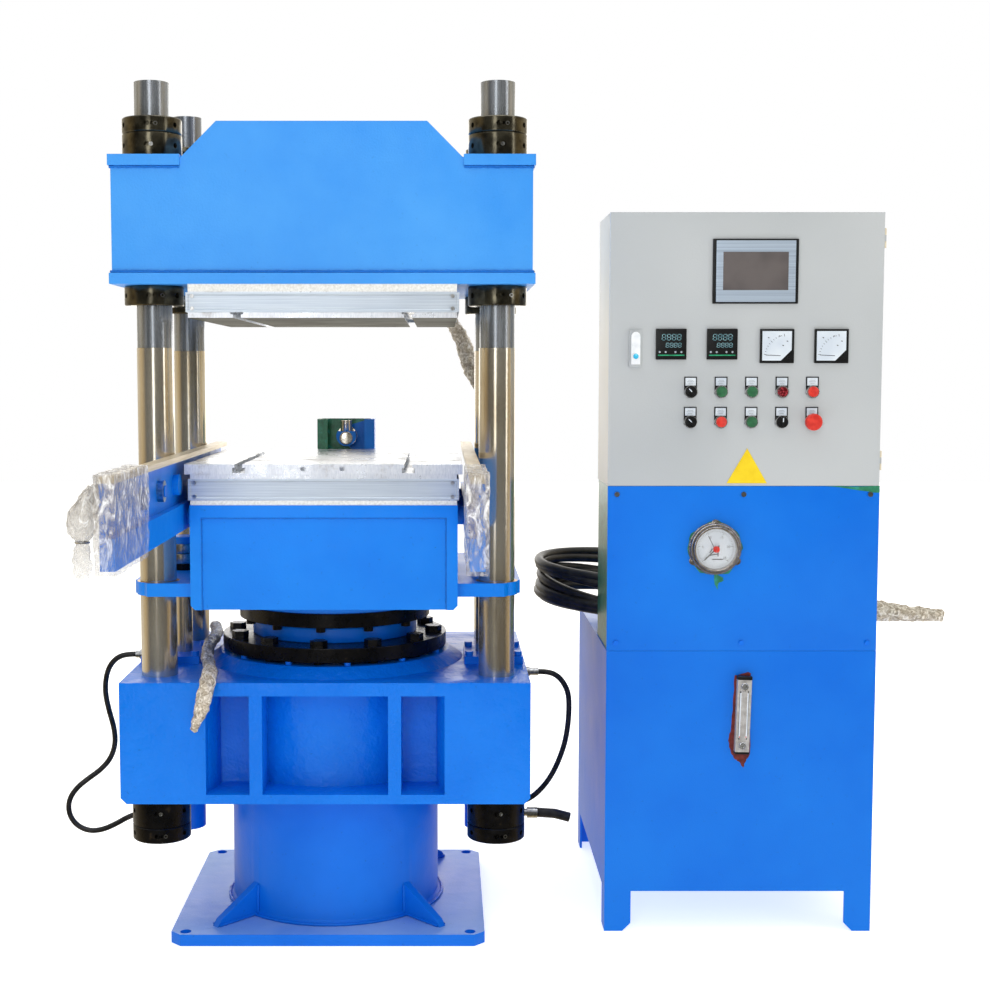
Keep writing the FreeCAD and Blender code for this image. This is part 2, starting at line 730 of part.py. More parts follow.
def top_profile(inset, low, y):
    """Outline of the upper beam, drawn in by an inset, in the plane at y."""
    half = top_beam_w / 2 - inset
    slant = inset * math.tan(math.radians(22.5))
    return [(-half, y, low), (half, y, low), (half, y, shoulder - inset),
            (top_shoulder_x - slant, y, shoulder - inset), (top_crown_x - slant, y, crown - inset),
            (-top_crown_x + slant, y, crown - inset),
            (-top_shoulder_x + slant, y, shoulder - inset), (-half, y, shoulder - inset)]


def upper_beam():
    face = PRESS_D / 2 - TOP_INSET
    hollow = face - TOP_WALL
    floor = top_beam_low + TOP_PLATE_T
    body = prism(top_profile(TOP_INSET, top_beam_low, -face), (0, 2 * face, 0))
    inside = prism(top_profile(TOP_WALL, floor, -hollow), (0, 2 * hollow, 0))
    shell = body.cut(inside)
    half_w, half_d = top_beam_w / 2, PRESS_D / 2
    plates = [block(-half_w, half_w, -half_d, half_d, top_beam_low, floor)]
    for side in SIDES:
        plates.append(block(side * top_shoulder_x, side * half_w, -half_d, half_d,
                            shoulder - TOP_PLATE_T, shoulder))
        plates.append(block(side * (TOP_RIB_X - TOP_RIB_T / 2), side * (TOP_RIB_X + TOP_RIB_T / 2),
                            -hollow, hollow, floor, crown - TOP_WALL))
    sleeves = [rod(TOP_SLEEVE_R, (sx * column_x, sy * COLUMN_Y, floor),
                   (sx * column_x, sy * COLUMN_Y, shoulder - TOP_WALL)) for sx, sy in CORNERS]
    tools = [rod(COLUMN_END_R + FIT, (sx * column_x, sy * COLUMN_Y, top_beam_low - 1),
                 (sx * column_x, sy * COLUMN_Y, crown)) for sx, sy in CORNERS]
    for x in (-(TOP_RIB_X + top_shoulder_x) / 2, 0, (TOP_RIB_X + top_shoulder_x) / 2):
        tools.append(rod(TOP_VENT_R, (x, 0, top_beam_low - 1), (x, 0, floor + 1)))
    save("upper_beam", cut(fuse([shell] + plates + sleeves), tools))


# ---------------------------------------------------------------- lift cylinders
def side_cylinders():
    shapes = []
    low, high = lift_low, beam_top + LIFT_FLANGE_T
    for side in SIDES:
        x = side * lift_x
        barrel = rod(LIFT_BARREL_R, (x, LIFT_Y, low), (x, LIFT_Y, high))
        flange = block(side * lift_flange_x[0], side * lift_flange_x[1], lift_flange_y[0],
                       lift_flange_y[1], beam_top, high)
        ports = [rod(PORT_R, (x, LIFT_Y, z), (side * port_face, LIFT_Y, z))
                 for z in lift_ports[side]]
        tools = [rod(LIFT_BORE_R, (x, LIFT_Y, low + LIFT_FLOOR), (x, LIFT_Y, high - LIFT_HEAD_T)),
                 rod(LIFT_ROD_R + RUN, (x, LIFT_Y, high - LIFT_HEAD_T - 1),
                     (x, LIFT_Y, high + 1))]
        for bx, by in lift_bolt_places():
            tools.append(rod(LIFT_BOLT_R + FIT, (side * bx, by, beam_top - 1),
                             (side * bx, by, high + 1)))
        shapes.append(cut(fuse([barrel, flange] + ports), tools))
    save("side_cylinders", shapes)


def side_rods():
    shapes = []
    for side in SIDES:
        x = side * lift_x
        foot = lift_low + LIFT_FLOOR + GAP
        shapes.append(fuse([
            rod(LIFT_BORE_R - RUN, (x, LIFT_Y, foot), (x, LIFT_Y, foot + LIFT_PISTON_T)),
            rod(LIFT_ROD_R, (x, LIFT_Y, foot), (x, LIFT_Y, ear_low)),
            rod(LIFT_ROD_R * 0.7, (x, LIFT_Y, ear_low), (x, LIFT_Y, ear_top + LIFT_NUT_H + 6))]))
    save("side_rods", shapes)


def frame_bolts():
    shapes = []
    for x, y in ring_places(GLAND_BOLT_R, GLAND_BOLT_COUNT):
        shank = rod(GLAND_SHANK_R - RUN, (x, y, boss_top - GLAND_THREAD + 1), (x, y, gland_top))
        shapes.append(fuse([shank, hexagon(HEX_AF, HEX_H, (x, y, gland_top))]))
    top = beam_top + LIFT_FLANGE_T
    for side in SIDES:
        for bx, by in lift_bolt_places():
            x = side * bx
            shank = rod(LIFT_BOLT_R - RUN, (x, by, beam_top - LIFT_BOLT_DEPTH + 1), (x, by, top))
            shapes.append(fuse([shank, hexagon(LIFT_BOLT_AF, LIFT_BOLT_HEAD, (x, by, top))]))
    shapes += guard_screws(upper_plate_low + UPPER_GUARD_UP, UPPER_GUARD_H)
    for x in (CAB_X0 + PANEL_SCREW_INX, (CAB_X0 + cab_x1) / 2, cab_x1 - PANEL_SCREW_INX):
        for z in (tank_top + PANEL_SCREW_INZ, mid_top - PANEL_SCREW_INZ):
            shapes.append(rod(PANEL_SCREW_R, (x, CAB_Y0 - PANEL_SCREW_H, z), (x, CAB_Y0, z)))
    save("frame_bolts", shapes)


# ---------------------------------------------------------------- heated plates
def guard_screws(low, height):
    """Screw heads at both ends of a guard's front and back sheets."""
    shapes = []
    for side in SIDES:
        face = side * PRESS_D / 2
        for across in SIDES:
            for z in (low + GUARD_SCREW_EDGE, low + height - GUARD_SCREW_EDGE):
                x = across * guard_screw_x
                head = face + side * GUARD_SCREW_HEAD
                shapes.append(rod(GUARD_SCREW_R, (x, face, z), (x, head, z)))
    return shapes


def guard(low, height):
    """Sheet guard round a heating plate: four folded sides with a lip at each edge."""
    outer = block(-guard_w / 2, guard_w / 2, -PRESS_D / 2, PRESS_D / 2, low, low + height)
    inner = block(-guard_w / 2 + GUARD_SHEET, guard_w / 2 - GUARD_SHEET,
                  -PRESS_D / 2 + GUARD_SHEET, PRESS_D / 2 - GUARD_SHEET, low - 1, low + height + 1)
    return outer.cut(inner)


def heater_places(z):
    """Heater bores across a plate, clear of the T-slots above or below them."""
    start = -HEATER_PITCH * (HEATER_COUNT - 1) / 2
    return [(start + k * HEATER_PITCH, z) for k in range(HEATER_COUNT)]


def heated_plate(low, height, z, tools):
    """Plate with cartridge heaters in bores from its back edge."""
    half_d = plate_d / 2
    plate = block(-plate_w / 2, plate_w / 2, -half_d, half_d, low, low + height)
    bores = []
    heaters = []
    for x, level in heater_places(z):
        start = -half_d + HEATER_TAIL
        bores.append(rod(HEATER_R + FIT / 2, (x, start - 1, level), (x, half_d + 1, level)))
        heaters.append(rod(HEATER_R, (x, start, level), (x, half_d - GUARD_SHEET, level)))
    return [cut(plate, bores + tools)] + heaters


def t_slot(x, mouth, inward):
    """T-slot cutter from a plate's face; inward is +1 when the slot rises from the face."""
    reach = PRESS_D
    neck = block(x - SLOT_NECK_W / 2, x + SLOT_NECK_W / 2, -reach, reach,
                 mouth - inward, mouth + inward * SLOT_NECK_H)
    wide = block(x - SLOT_WIDE_W / 2, x + SLOT_WIDE_W / 2, -reach, reach,
                 mouth + inward * SLOT_NECK_H, mouth + inward * (SLOT_NECK_H + SLOT_WIDE_H))
    return neck.fuse(wide)


def upper_stack():
    board = block(-plate_w / 2, plate_w / 2, -plate_d / 2, plate_d / 2,
                  upper_plate_top, top_beam_low)
    save("upper_insulation_board", board)
    slots = [t_slot(side * SLOT_X, upper_plate_low, 1) for side in SIDES]
    save("upper_heating_plate",
         heated_plate(upper_plate_low, UPPER_PLATE_T, upper_plate_top - 22, slots))
    save("upper_heater_guard", guard(upper_plate_low + UPPER_GUARD_UP, UPPER_GUARD_H))


def lower_stack():
    board = block(-plate_w / 2, plate_w / 2, -plate_d / 2, plate_d / 2,
                  table_top, lower_plate_low)
    save("lower_insulation_board", board)
    save("lower_heating_plate",
         heated_plate(lower_plate_low, LOWER_PLATE_T, lower_plate_low + 26, []))
    clamp = block(-clamp_w / 2, clamp_w / 2, -PRESS_D / 2, PRESS_D / 2, clamp_low, clamp_top)
    tools = [t_slot(side * SLOT_X, clamp_top, -1) for side in SIDES]
    for side in SIDES:
        x, z = side * PIN_HOLE_X, clamp_low + CLAMP_T * 0.55
        tools.append(rod(PIN_HOLE_R, (x, -PRESS_D / 2 - 1, z), (x, -PRESS_D / 2 + PIN_HOLE_DEPTH, z)))
    save("lower_clamp_plate", cut(clamp, tools))
    save("lower_heater_guard", guard(lower_plate_low + LOWER_GUARD_UP, LOWER_GUARD_H))


# ---------------------------------------------------------------- moving table
def ram():
    low = base_top + CYLINDER_FLOOR + RAM_END_GAP
    save("ram", rod(RAM_R, (0, 0, low), (0, 0, ram_top)))


def ram_flange_ring():
    ring = pipe(RAM_RING_R, RAM_R + FIT, (0, 0, ram_ring_low), (0, 0, ram_top))
    holes = [rod(RAM_BOLT_SHANK_R + FIT, (x, y, ram_ring_low - 1), (x, y, ram_top + 1))
             for x, y in ring_places(RAM_BOLT_R, RAM_BOLT_COUNT)]
    save("ram_flange_ring", cut(ring, holes))


def ear_outline():
    hx, hy, cx, cy = ear_half_x, ear_half_y, EAR_CUT_X, EAR_CUT_Y
    return [(-hx, -hy + cy, ear_low), (-hx + cx, -hy, ear_low), (hx - cx, -hy, ear_low),
            (hx, -hy + cy, ear_low), (hx, hy - cy, ear_low), (hx - cx, hy, ear_low),
            (-hx + cx, hy, ear_low), (-hx, hy - cy, ear_low)]


def platform_table():
    half_w, half_d, c = TABLE_W / 2, PRESS_D / 2, TABLE_CORNER
    outline = [(-half_w + c, -half_d, table_low), (half_w - c, -half_d, table_low),
               (half_w, -half_d, table_low + c), (half_w, -half_d, table_top),
               (-half_w, -half_d, table_top), (-half_w, -half_d, table_low + c)]
    body = prism(outline, (0, PRESS_D, 0))
    wall = TABLE_WALL
    inner_y = half_d - wall - TABLE_FACE_INSET
    hollow = block(-half_w + wall, half_w - wall, -inner_y, inner_y,
                   table_low + wall, table_top - TABLE_TOP_T)
    faces = [block(-half_w + wall, half_w - wall, side * half_d + side,
                   side * (half_d - TABLE_FACE_INSET), table_low - 1, table_top - TABLE_TOP_T)
             for side in SIDES]
    shell = cut(body, [hollow] + faces)
    core = pipe(RAM_RING_R, RAM_R * 0.6, (0, 0, table_low), (0, 0, table_top - 1))
    ears = prism(ear_outline(), (0, 0, EAR_T))
    ears = ears.cut(block(-half_w + wall, half_w - wall, -half_d, half_d, ear_low - 1, ear_top + 1))
    boss = rod(RAM_BOSS_R, (0, 0, ram_top), (0, 0, table_low))
    table = fuse([shell, core, ears, boss])
    tools = []
    for sx, sy in CORNERS:
        x, y = sx * column_x, sy * COLUMN_Y
        tools.append(rod(COLUMN_LOW_R + RUN + GUIDE_WALL, (x, y, ear_low - 1), (x, y, ear_top + 1)))
    for side in SIDES:
        x = side * lift_x
        tools.append(rod(LIFT_ROD_R * 0.7 + FIT, (x, LIFT_Y, ear_low - 1), (x, LIFT_Y, ear_top + 1)))
    for x, y in ring_places(RAM_BOLT_R, RAM_BOLT_COUNT):
        tools.append(rod(RAM_BOLT_SHANK_R, (x, y, ram_top - 1), (x, y, ram_top + RAM_BOSS_T)))
    save("platform_table", cut(table, tools))


def guide_bushes():
    outer = COLUMN_LOW_R + RUN + GUIDE_WALL
    save("guide_bushes", [pipe(outer, COLUMN_LOW_R + RUN,
                               (sx * column_x, sy * COLUMN_Y, ear_low),
                               (sx * column_x, sy * COLUMN_Y, ear_top)) for sx, sy in CORNERS])


def roller_places():
    """Roller centres along a rail, at the back edge of the film and behind it."""
    return (roller_y, roller_y + ROLLER_PITCH)


def feed_rails():
    web_in = rail_out - RAIL_WEB_T
    body = fuse([block(web_in, rail_out, rail_y0, rail_y1, rail_low, rail_web_top),
                 block(rail_in, rail_out, rail_y0, rail_y1, rail_low, rail_low + RAIL_BAR_H),
                 rod(ROLLER_R, (rail_in + 2, roller_y + 2 * ROLLER_PITCH, roller_z),
                     (web_in, roller_y + 2 * ROLLER_PITCH, roller_z))])
    holes = [rod(ROLLER_BORE_R, (web_in - 1, y, roller_z), (rail_out + 1, y, roller_z))
             for y in roller_places()]
    strip = block(rail_in, rail_out, rail_y0, rail_y1, rail_web_top, rail_web_top + RAIL_STRIP_H)
    spacers = [rod(SPACER_R, (TABLE_W / 2, k * SPACER_PITCH, spacer_z),
                   (rail_in, k * SPACER_PITCH, spacer_z)) for k in (-1, 0, 1)]
    right = [cut(body, holes), strip] + spacers
    save("feed_rails", right + [mirror_x(shape) for shape in right])


def platform_bolts():
    shapes = guard_screws(lower_plate_low + LOWER_GUARD_UP, LOWER_GUARD_H)
    for x, y in ring_places(RAM_BOLT_R, RAM_BOLT_COUNT):
        head = rod(RAM_BOLT_HEAD_R, (x, y, ram_ring_low - RAM_BOLT_HEAD_H), (x, y, ram_ring_low))
        mouth = (x, y, ram_ring_low - RAM_BOLT_HEAD_H - 1)
        socket = hexagon(RAM_BOLT_HEAD_R, RAM_BOLT_HEAD_H / 2 + 1, mouth)
        shank = rod(RAM_BOLT_SHANK_R - RUN, (x, y, ram_ring_low), (x, y, ram_top + RAM_BOSS_T - 2))
        shapes.append(fuse([head.cut(socket), shank]))
    for side in SIDES:
        for y in roller_places():
            outer = side * rail_out
            head = side * (rail_out - RAIL_WEB_T - ROLLER_W - 2 * GAP)
            shapes.append(fuse([
                rod(ROLLER_BORE_R - RUN, (outer, y, roller_z), (head, y, roller_z)),
                rod(ROLLER_HEAD_R, (head, y, roller_z), (head - side * ROLLER_HEAD_H, y, roller_z)),
                rod(ROLLER_HEAD_R, (outer, y, roller_z), (outer + side * 9, y, roller_z))]))
    for side in SIDES:
        x = side * lift_x
        shapes.append(pipe(LIFT_NUT_R, LIFT_ROD_R * 0.7 + RUN, (x, LIFT_Y, ear_top),
                           (x, LIFT_Y, ear_top + LIFT_NUT_H)))
    save("platform_bolts", shapes)


def rail_rollers():
    names = {-1: "left", 1: "right"}
    for side in SIDES:
        for place, y in zip(("front", "rear"), roller_places()):
            inner = side * (rail_out - RAIL_WEB_T - GAP)
            outer = side * (rail_out - RAIL_WEB_T - GAP - ROLLER_W)
            roller = pipe(ROLLER_R, ROLLER_BORE_R, (inner, y, roller_z), (outer, y, roller_z))
            save("roller_%s_%s" % (names[side], place), roller)


def film_sleeve(side):
    """Closed sleeve of film round a rail's front end."""
    x0, x1 = side * (rail_in - FILM_CLEAR), side * (rail_out + FILM_CLEAR)
    z0, z1 = rail_low - FILM_CLEAR, rail_web_top + RAIL_STRIP_H + FILM_CLEAR
    y0 = rail_y0 - FILM_CLEAR
    w = FILM_WALL
    outer = block(x0 - side * w, x1 + side * w, film_y0, film_y1, z0 - w, z1 + w)
    return outer.cut(block(x0, x1, y0, film_y1 + 1, z0, z1))


def rail_films():
    left = film_sleeve(-1)
    wall = -(rail_out + FILM_CLEAR + FILM_WALL)
    pouch = prism([(wall, film_y0, switch_high), (-switch_out, film_y0, switch_high - 45),
                   (-switch_out + 8, film_y0, switch_low), (wall, film_y0, switch_low)],
                  (0, FILM_SWITCH_D, 0))
    x = -switch_out + 8 + FILM_TAIL_R
    y = film_y0 + FILM_SWITCH_D / 2
    tail = rod(FILM_TAIL_R, (x, y, switch_low - FILM_TAIL_LEN), (x, y, switch_low))
    save("rail_films", [fuse([left, pouch, tail]), film_sleeve(1)])


def mould_puller():
    y0 = PRESS_D / 2 + PULLER_GAP
    low, high = clamp_top - PULLER_DROP, clamp_top + PULLER_H
    x0, x1 = PULLER_X - PULLER_W / 2, PULLER_X + PULLER_W / 2
    w = PULLER_WALL
    rod_z = clamp_top + PULLER_H * 0.42
    back = block(x0, x1, y0 + PULLER_DEPTH - w, y0 + PULLER_DEPTH, low, high)
    bracket = fuse([back, block(x0, x0 + w, y0, y0 + PULLER_DEPTH, low, high),
                    block(x1 - w, x1, y0, y0 + PULLER_DEPTH, low, high),
                    block(x0, x0 + 28, y0, y0 + w, low, high),
                    block(x1 - 28, x1, y0, y0 + w, low, high),
                    block(x0, x1, PRESS_D / 2, y0 + PULLER_DEPTH, table_top - 60, low + w),
                    block(x0, x1, PRESS_D / 2, y0 + w, table_top - 60, low + w)])
    bore = rod(PULLER_ROD_R + FIT, (PULLER_X, y0, rod_z), (PULLER_X, y0 + PULLER_DEPTH + 1, rod_z))
    nose = rod(PULLER_ROD_R, (PULLER_X, y0 + 6, rod_z), (PULLER_X, y0 + PULLER_DEPTH + 60, rod_z))
    flat = block(PULLER_X - 60, PULLER_X + 60, y0, y0 + 38, rod_z + 14, high + 20)
    pin = rod(PULLER_PIN_R, (PULLER_X, y0 + 20, rod_z + 14), (PULLER_X, y0 + 20, high - 4))
    save("mould_puller", [cut(bracket, [bore]), nose.cut(flat), pin])


# ---------------------------------------------------------------- cabinet
def oil_tank():
    y1 = CAB_Y0 + TANK_D
    w = TANK_WALL
    shell = block(CAB_X0, cab_x1, CAB_Y0, y1, tank_low, tank_top - LID_T)
    inside = block(CAB_X0 + w, cab_x1 - w, CAB_Y0 + w, y1 - w, tank_low + w, tank_top)
    legs = []
    for side in SIDES:
        outer = CAB_X0 if side < 0 else cab_x1
        inner = outer - side * LEG_W
        for y, step in ((CAB_Y0, 1), (y1, -1)):
            front = prism([(outer, y, 0), (inner + side * LEG_CUT, y, 0), (inner, y, LEG_CUT),
                           (inner, y, tank_low), (outer, y, tank_low)], (0, step * LEG_T, 0))
            flank = block(outer, outer - side * LEG_T, y + step * LEG_T, y + step * LEG_W,
                          0, tank_low)
            legs += [front, flank]
    lid = block(CAB_X0, cab_x1, CAB_Y0, y1, tank_top - LID_T, tank_top)
    save("oil_tank", [shell.cut(inside), lid] + legs)


def middle_frame():
    w = MID_WALL
    y0 = CAB_Y0 + MID_PANEL_T
    x0, x1 = CAB_X0 + MID_PANEL_IN, cab_x1 - MID_PANEL_IN
    shell = block(x0, x1, y0, CAB_Y0 + MID_D, tank_top, mid_top)
    inside = block(x0 + w, x1 - w, y0 - 1, CAB_Y0 + MID_D - w, tank_top + w, mid_top - w)
    lips = [block(x0, x1, y0, y0 + w, tank_top, tank_top + 30),
            block(x0, x1, y0, y0 + w, mid_top - 30, mid_top)]
    save("middle_frame", fuse([shell.cut(inside)] + lips))
    panel = block(CAB_X0, cab_x1, CAB_Y0, y0, tank_top + GAP, mid_top - GAP)
    hole = rod(GAUGE_CASE_R + FIT, (gauge_x, CAB_Y0 - 1, gauge_z), (gauge_x, y0 + 1, gauge_z))
    save("front_panel", panel.cut(hole))


def electrical_box():
    """Box of welded sheets, open at the front inside a folded rim, with its hinge leaves."""
    w = BOX_WALL
    y0, y1 = door_back + DOOR_GAP, box_y1 - BOX_WALL
    x0, x1 = box_x0 + w, box_x1 - w
    z0, z1 = mid_top + w, box_top - w
    mouth_x0, mouth_x1 = box_x0 + BOX_RIM, box_x1 - BOX_RIM
    shapes = [block(box_x0, box_x1, y1, box_y1, mid_top, box_top),
              block(box_x0, x0, y0, y1, mid_top, box_top),
              block(x1, box_x1, y0, y1, mid_top, box_top),
              block(x0, x1, y0, y1, mid_top, z0),
              block(x0, x1, y0, y1, z1, box_top),
              block(x0, mouth_x0, y0, y0 + w, z0, z1),
              block(mouth_x1, x1, y0, y0 + w, z0, z1),
              block(mouth_x0, mouth_x1, y0, y0 + w, z0, mid_top + BOX_RIM),
              block(mouth_x0, mouth_x1, y0, y0 + w, box_top - BOX_RIM, z1)]
    part = HINGE_H / 3
    half = HINGE_LEAF / 2
    for low in hinge_levels:
        for z in (low, low + 2 * part):
            end = z + part - GAP
            knuckle = rod(HINGE_R, (hinge_x, hinge_y, z), (hinge_x, hinge_y, end))
            arm = block(hinge_x - half, hinge_x + half, hinge_y + HINGE_PIN_R, y0 + HINGE_FOOT, z, end)
            foot = block(box_x1, hinge_x + half, y0 + w, y0 + HINGE_FOOT, z, end)
            pin_hole = rod(HINGE_PIN_R, (hinge_x, hinge_y, z - 1), (hinge_x, hinge_y, end + 1))
            shapes.append(fuse([arm, knuckle, foot]).cut(pin_hole))
        shapes.append(rod(HINGE_PIN_R - RUN / 2, (hinge_x, hinge_y, low),
                          (hinge_x, hinge_y, low + HINGE_H)))
    save("electrical_box", shapes)


def switchgear():
    """Mounting plate on stand-offs with its contactors, breakers and terminals."""
    back = box_y1 - BOX_WALL
    plate_y = back - 14
    shapes = [block(box_x0 + 40, box_x1 - 40, plate_y - 3, plate_y, mid_top + 40, box_top - 40)]
    for sx in (box_x0 + 60, box_x1 - 60):
        for z in (mid_top + 60, box_top - 60):
            shapes.append(rod(6, (sx, plate_y, z), (sx, back, z)))
    face = plate_y - 3
    rows = ((mid_top + 110, 8, 45, 24, 60), (mid_top + 250, 5, 78, 62, 80),
            (mid_top + 420, 6, 66, 50, 70))
    for low, count, pitch, width, height in rows:
        span = pitch * (count - 1) + width
        start = (box_x0 + box_x1) / 2 - span / 2
        rail = low + height * 0.4
        rail_y = face - GEAR_RAIL_T
        shapes.append(block(start - 15, start + span + 15, rail_y, face, rail, rail + 35))
        for k in range(count):
            x = start + k * pitch
            shapes.append(block(x, x + width, rail_y - GEAR_DEPTH, rail_y, low, low + height))
    save("switchgear", shapes)


def key_places():
    """Column and row centres of the door's operating elements."""
    return [[(key_x0 + KEY_PITCH_X * column, key_top_z - KEY_PITCH_Z * row)
             for column in range(5)] for row in range(2)]


def cabinet_door():
    y0 = CAB_Y0
    outer = block(box_x0, box_x1, y0, door_back, mid_top + GAP, box_top)
    s = DOOR_SHEET
    inner = block(box_x0 + s, box_x1 - s, y0 + s, door_back + 1, mid_top + GAP + s, box_top - s)
    shapes = [outer.cut(inner)]
    for low in hinge_levels:
        part = HINGE_H / 3
        z0, z1 = low + part + GAP / 2, low + 2 * part - 3 * GAP / 2
        half = HINGE_LEAF / 2
        shapes.append(rod(HINGE_R, (hinge_x, hinge_y, z0), (hinge_x, hinge_y, z1)))
        shapes.append(block(box_x1 - 1, hinge_x, hinge_y - half, hinge_y + half, z0, z1))
    door = fuse(shapes)
    holes = [rod(HINGE_PIN_R, (hinge_x, hinge_y, low - 1), (hinge_x, hinge_y, low + HINGE_H + 1))
             for low in hinge_levels]
    for row in key_places():
        for x, z in row:
            holes.append(rod(KEY_HOLE_R, (x, y0 - 1, z), (x, y0 + s + 1, z)))
    half_w, half_h = SCREEN_W / 2 - CUTOUT_IN, SCREEN_H / 2 - CUTOUT_IN
    holes.append(block(screen_x - half_w, screen_x + half_w, y0 - 1, y0 + s + 1,
                       screen_z - half_h, screen_z + half_h))
    for x in controller_x:
        half = CONTROLLER_W / 2 - CUTOUT_IN
        holes.append(block(x - half, x + half, y0 - 1, y0 + s + 1,
                           controller_z - half, controller_z + half))
    for x in ammeter_x:
        holes.append(rod(AMMETER_BODY_R + FIT, (x, y0 - 1, ammeter_z), (x, y0 + s + 1, ammeter_z)))
    lock_axis = lock_high - LOCK_W / 2
    holes.append(rod(LOCK_PIVOT_R + FIT, (lock_x, y0 - 1, lock_axis), (lock_x, y0 + s + 1, lock_axis)))
    sign = prism([(sign_x - SIGN_W / 2, y0, sign_low), (sign_x + SIGN_W / 2, y0, sign_low),
                  (sign_x, y0, sign_low + SIGN_W * math.sqrt(3) / 2)], (0, -SIGN_T, 0))
    base = block(lock_x - LOCK_W / 2, lock_x + LOCK_W / 2, y0 - LOCK_BASE_T, y0, lock_low, lock_high)
    seat = rod(LOCK_PIVOT_R + RUN, (lock_x, y0 - LOCK_BASE_T - 1, lock_axis), (lock_x, y0 + 1, lock_axis))
    save("cabinet_door", [cut(door, holes), sign, base.cut(seat)])


def front_and_body(x, z, width, height, front, body, shrink):
    """Panel instrument: a frame in front of the door and a smaller body behind it."""
    frame = block(x - width / 2, x + width / 2, CAB_Y0 - front, CAB_Y0, z - height / 2, z + height / 2)
    half_w, half_h = width / 2 - shrink, height / 2 - shrink
    rear = block(x - half_w, x + half_w, CAB_Y0, CAB_Y0 + body, z - half_h, z + half_h)
    return fuse([frame, rear])


def door_instruments():
    inner = CUTOUT_IN + GAP
    save("touch_panel", front_and_body(screen_x, screen_z, SCREEN_W, SCREEN_H,
                                       SCREEN_FRONT, SCREEN_BODY, inner))
    meters = [front_and_body(x, controller_z, CONTROLLER_W, CONTROLLER_W, METER_FRONT,
                             CONTROLLER_BODY, inner) for x in controller_x]
    half = AMMETER_W / 2
    for x in ammeter_x:
        frame = block(x - half, x + half, CAB_Y0 - METER_FRONT, CAB_Y0, ammeter_z - half, ammeter_z + half)
        body = rod(AMMETER_BODY_R, (x, CAB_Y0, ammeter_z), (x, CAB_Y0 + AMMETER_BODY, ammeter_z))
        meters.append(fuse([frame, body]))
    save("panel_meters", meters)


def collar(x, z):
    """Fixed body of one operating element: legend plate, bezel, barrel and contact block."""
    face = CAB_Y0 - LEGEND_T
    legend = block(x - LEGEND_W / 2, x + LEGEND_W / 2, face, CAB_Y0,
                   z + LEGEND_UP - LEGEND_H / 2, z + LEGEND_UP + LEGEND_H / 2)
    bezel = rod(COLLAR_R, (x, face - COLLAR_H, z), (x, face, z))
    barrel = rod(KEY_HOLE_R - RUN, (x, face, z), (x, CAB_Y0 + DOOR_SHEET + 12, z))
    rear = CAB_Y0 + DOOR_SHEET + 8
    contacts = block(x - BLOCK_W / 2, x + BLOCK_W / 2, rear, rear + BLOCK_D, z - 16, z + 16)
    bore = rod(COLLAR_BORE_R, (x, face - COLLAR_H - 1, z), (x, CAB_Y0 + DOOR_SHEET + 26, z))
    return fuse([legend, bezel, barrel, contacts]).cut(bore)


def operating_elements():
    rows = key_places()
    save("button_collars", [collar(x, z) for row in rows for x, z in row] + [lamp(*rows[0][3])])
    front = CAB_Y0 - LEGEND_T - COLLAR_H
    keys = {"start_button_upper": rows[0][1], "start_button_middle": rows[0][2],
            "stop_button_upper": rows[0][4], "stop_button_lower": rows[1][1],
            "start_button_lower": rows[1][2]}
    proud = KEY_TRAVEL + KEY_LEFT_OUT
    for name, (x, z) in keys.items():
        save(name, rod(KEY_R, (x, front - proud, z), (x, front - proud + KEY_STEM, z)))
    levers = {"selector_upper": (rows[0][0], 45), "selector_lower": (rows[1][0], 45),
              "selector_three_way": (rows[1][3], 0)}
    for name, ((x, z), turn) in levers.items():
        hub = rod(KEY_R, (x, front, z), (x, front + KEY_STEM, z))
        disc = rod(LEVER_R + 2, (x, front - GAP - 3, z), (x, front - GAP, z))
        neck = rod(KEY_R, (x, front - GAP - 1, z), (x, front + 1, z))
        grip = block(x - LEVER_W / 2, x + LEVER_W / 2, front - LEVER_PROUD, front - GAP - 1,
                     z - LEVER_R, z + LEVER_R)
        grip.rotate(Vector(x, 0, z), BACK, -turn)
        save(name, fuse([hub, disc, neck, grip]))
    x, z = rows[1][4]
    stand = GAP + ESTOP_TRAVEL
    stem = rod(KEY_R, (x, front - stand - 1, z), (x, front + KEY_STEM - 9, z))
    head = rod(ESTOP_R, (x, front - stand - ESTOP_H, z), (x, front - stand, z))
    rim = [e for e in head.Edges if abs(e.BoundBox.YMin - (front - stand - ESTOP_H)) < 0.01
           and e.BoundBox.YLength < 0.01]
    save("emergency_stop", fuse([head.makeFillet(5.0, rim), stem]))


def lamp(x, z):
    """Lens of the indicator lamp in its collar."""
    front = CAB_Y0 - LEGEND_T - COLLAR_H
    return rod(COLLAR_BORE_R - RUN, (x, front - 5, z), (x, CAB_Y0 + DOOR_SHEET + 25, z))


def lock_handle():
    axis = lock_high - LOCK_W / 2
    face = CAB_Y0 - LOCK_BASE_T - GAP
    half = LOCK_LEVER_W / 2
    lever = block(lock_x - half, lock_x + half, face - LOCK_LEVER_T, face, lock_low + 6, axis)
    head = rod(half, (lock_x, face - LOCK_LEVER_T, axis), (lock_x, face, axis))
    shaft = rod(LOCK_PIVOT_R, (lock_x, face, axis), (lock_x, door_back + DOOR_GAP + 8, axis))
    y = door_back + DOOR_GAP + 2
    cam = block(lock_x - LOCK_CAM, lock_x + 9, y, y + 4, axis - 9, axis + 9)
    key_face = rod(7.5, (lock_x, face - LOCK_LEVER_T - 2, lock_low + 25), (lock_x, face - 1, lock_low + 25))
    save("lock_handle", fuse([lever, head, shaft, cam, key_face]))


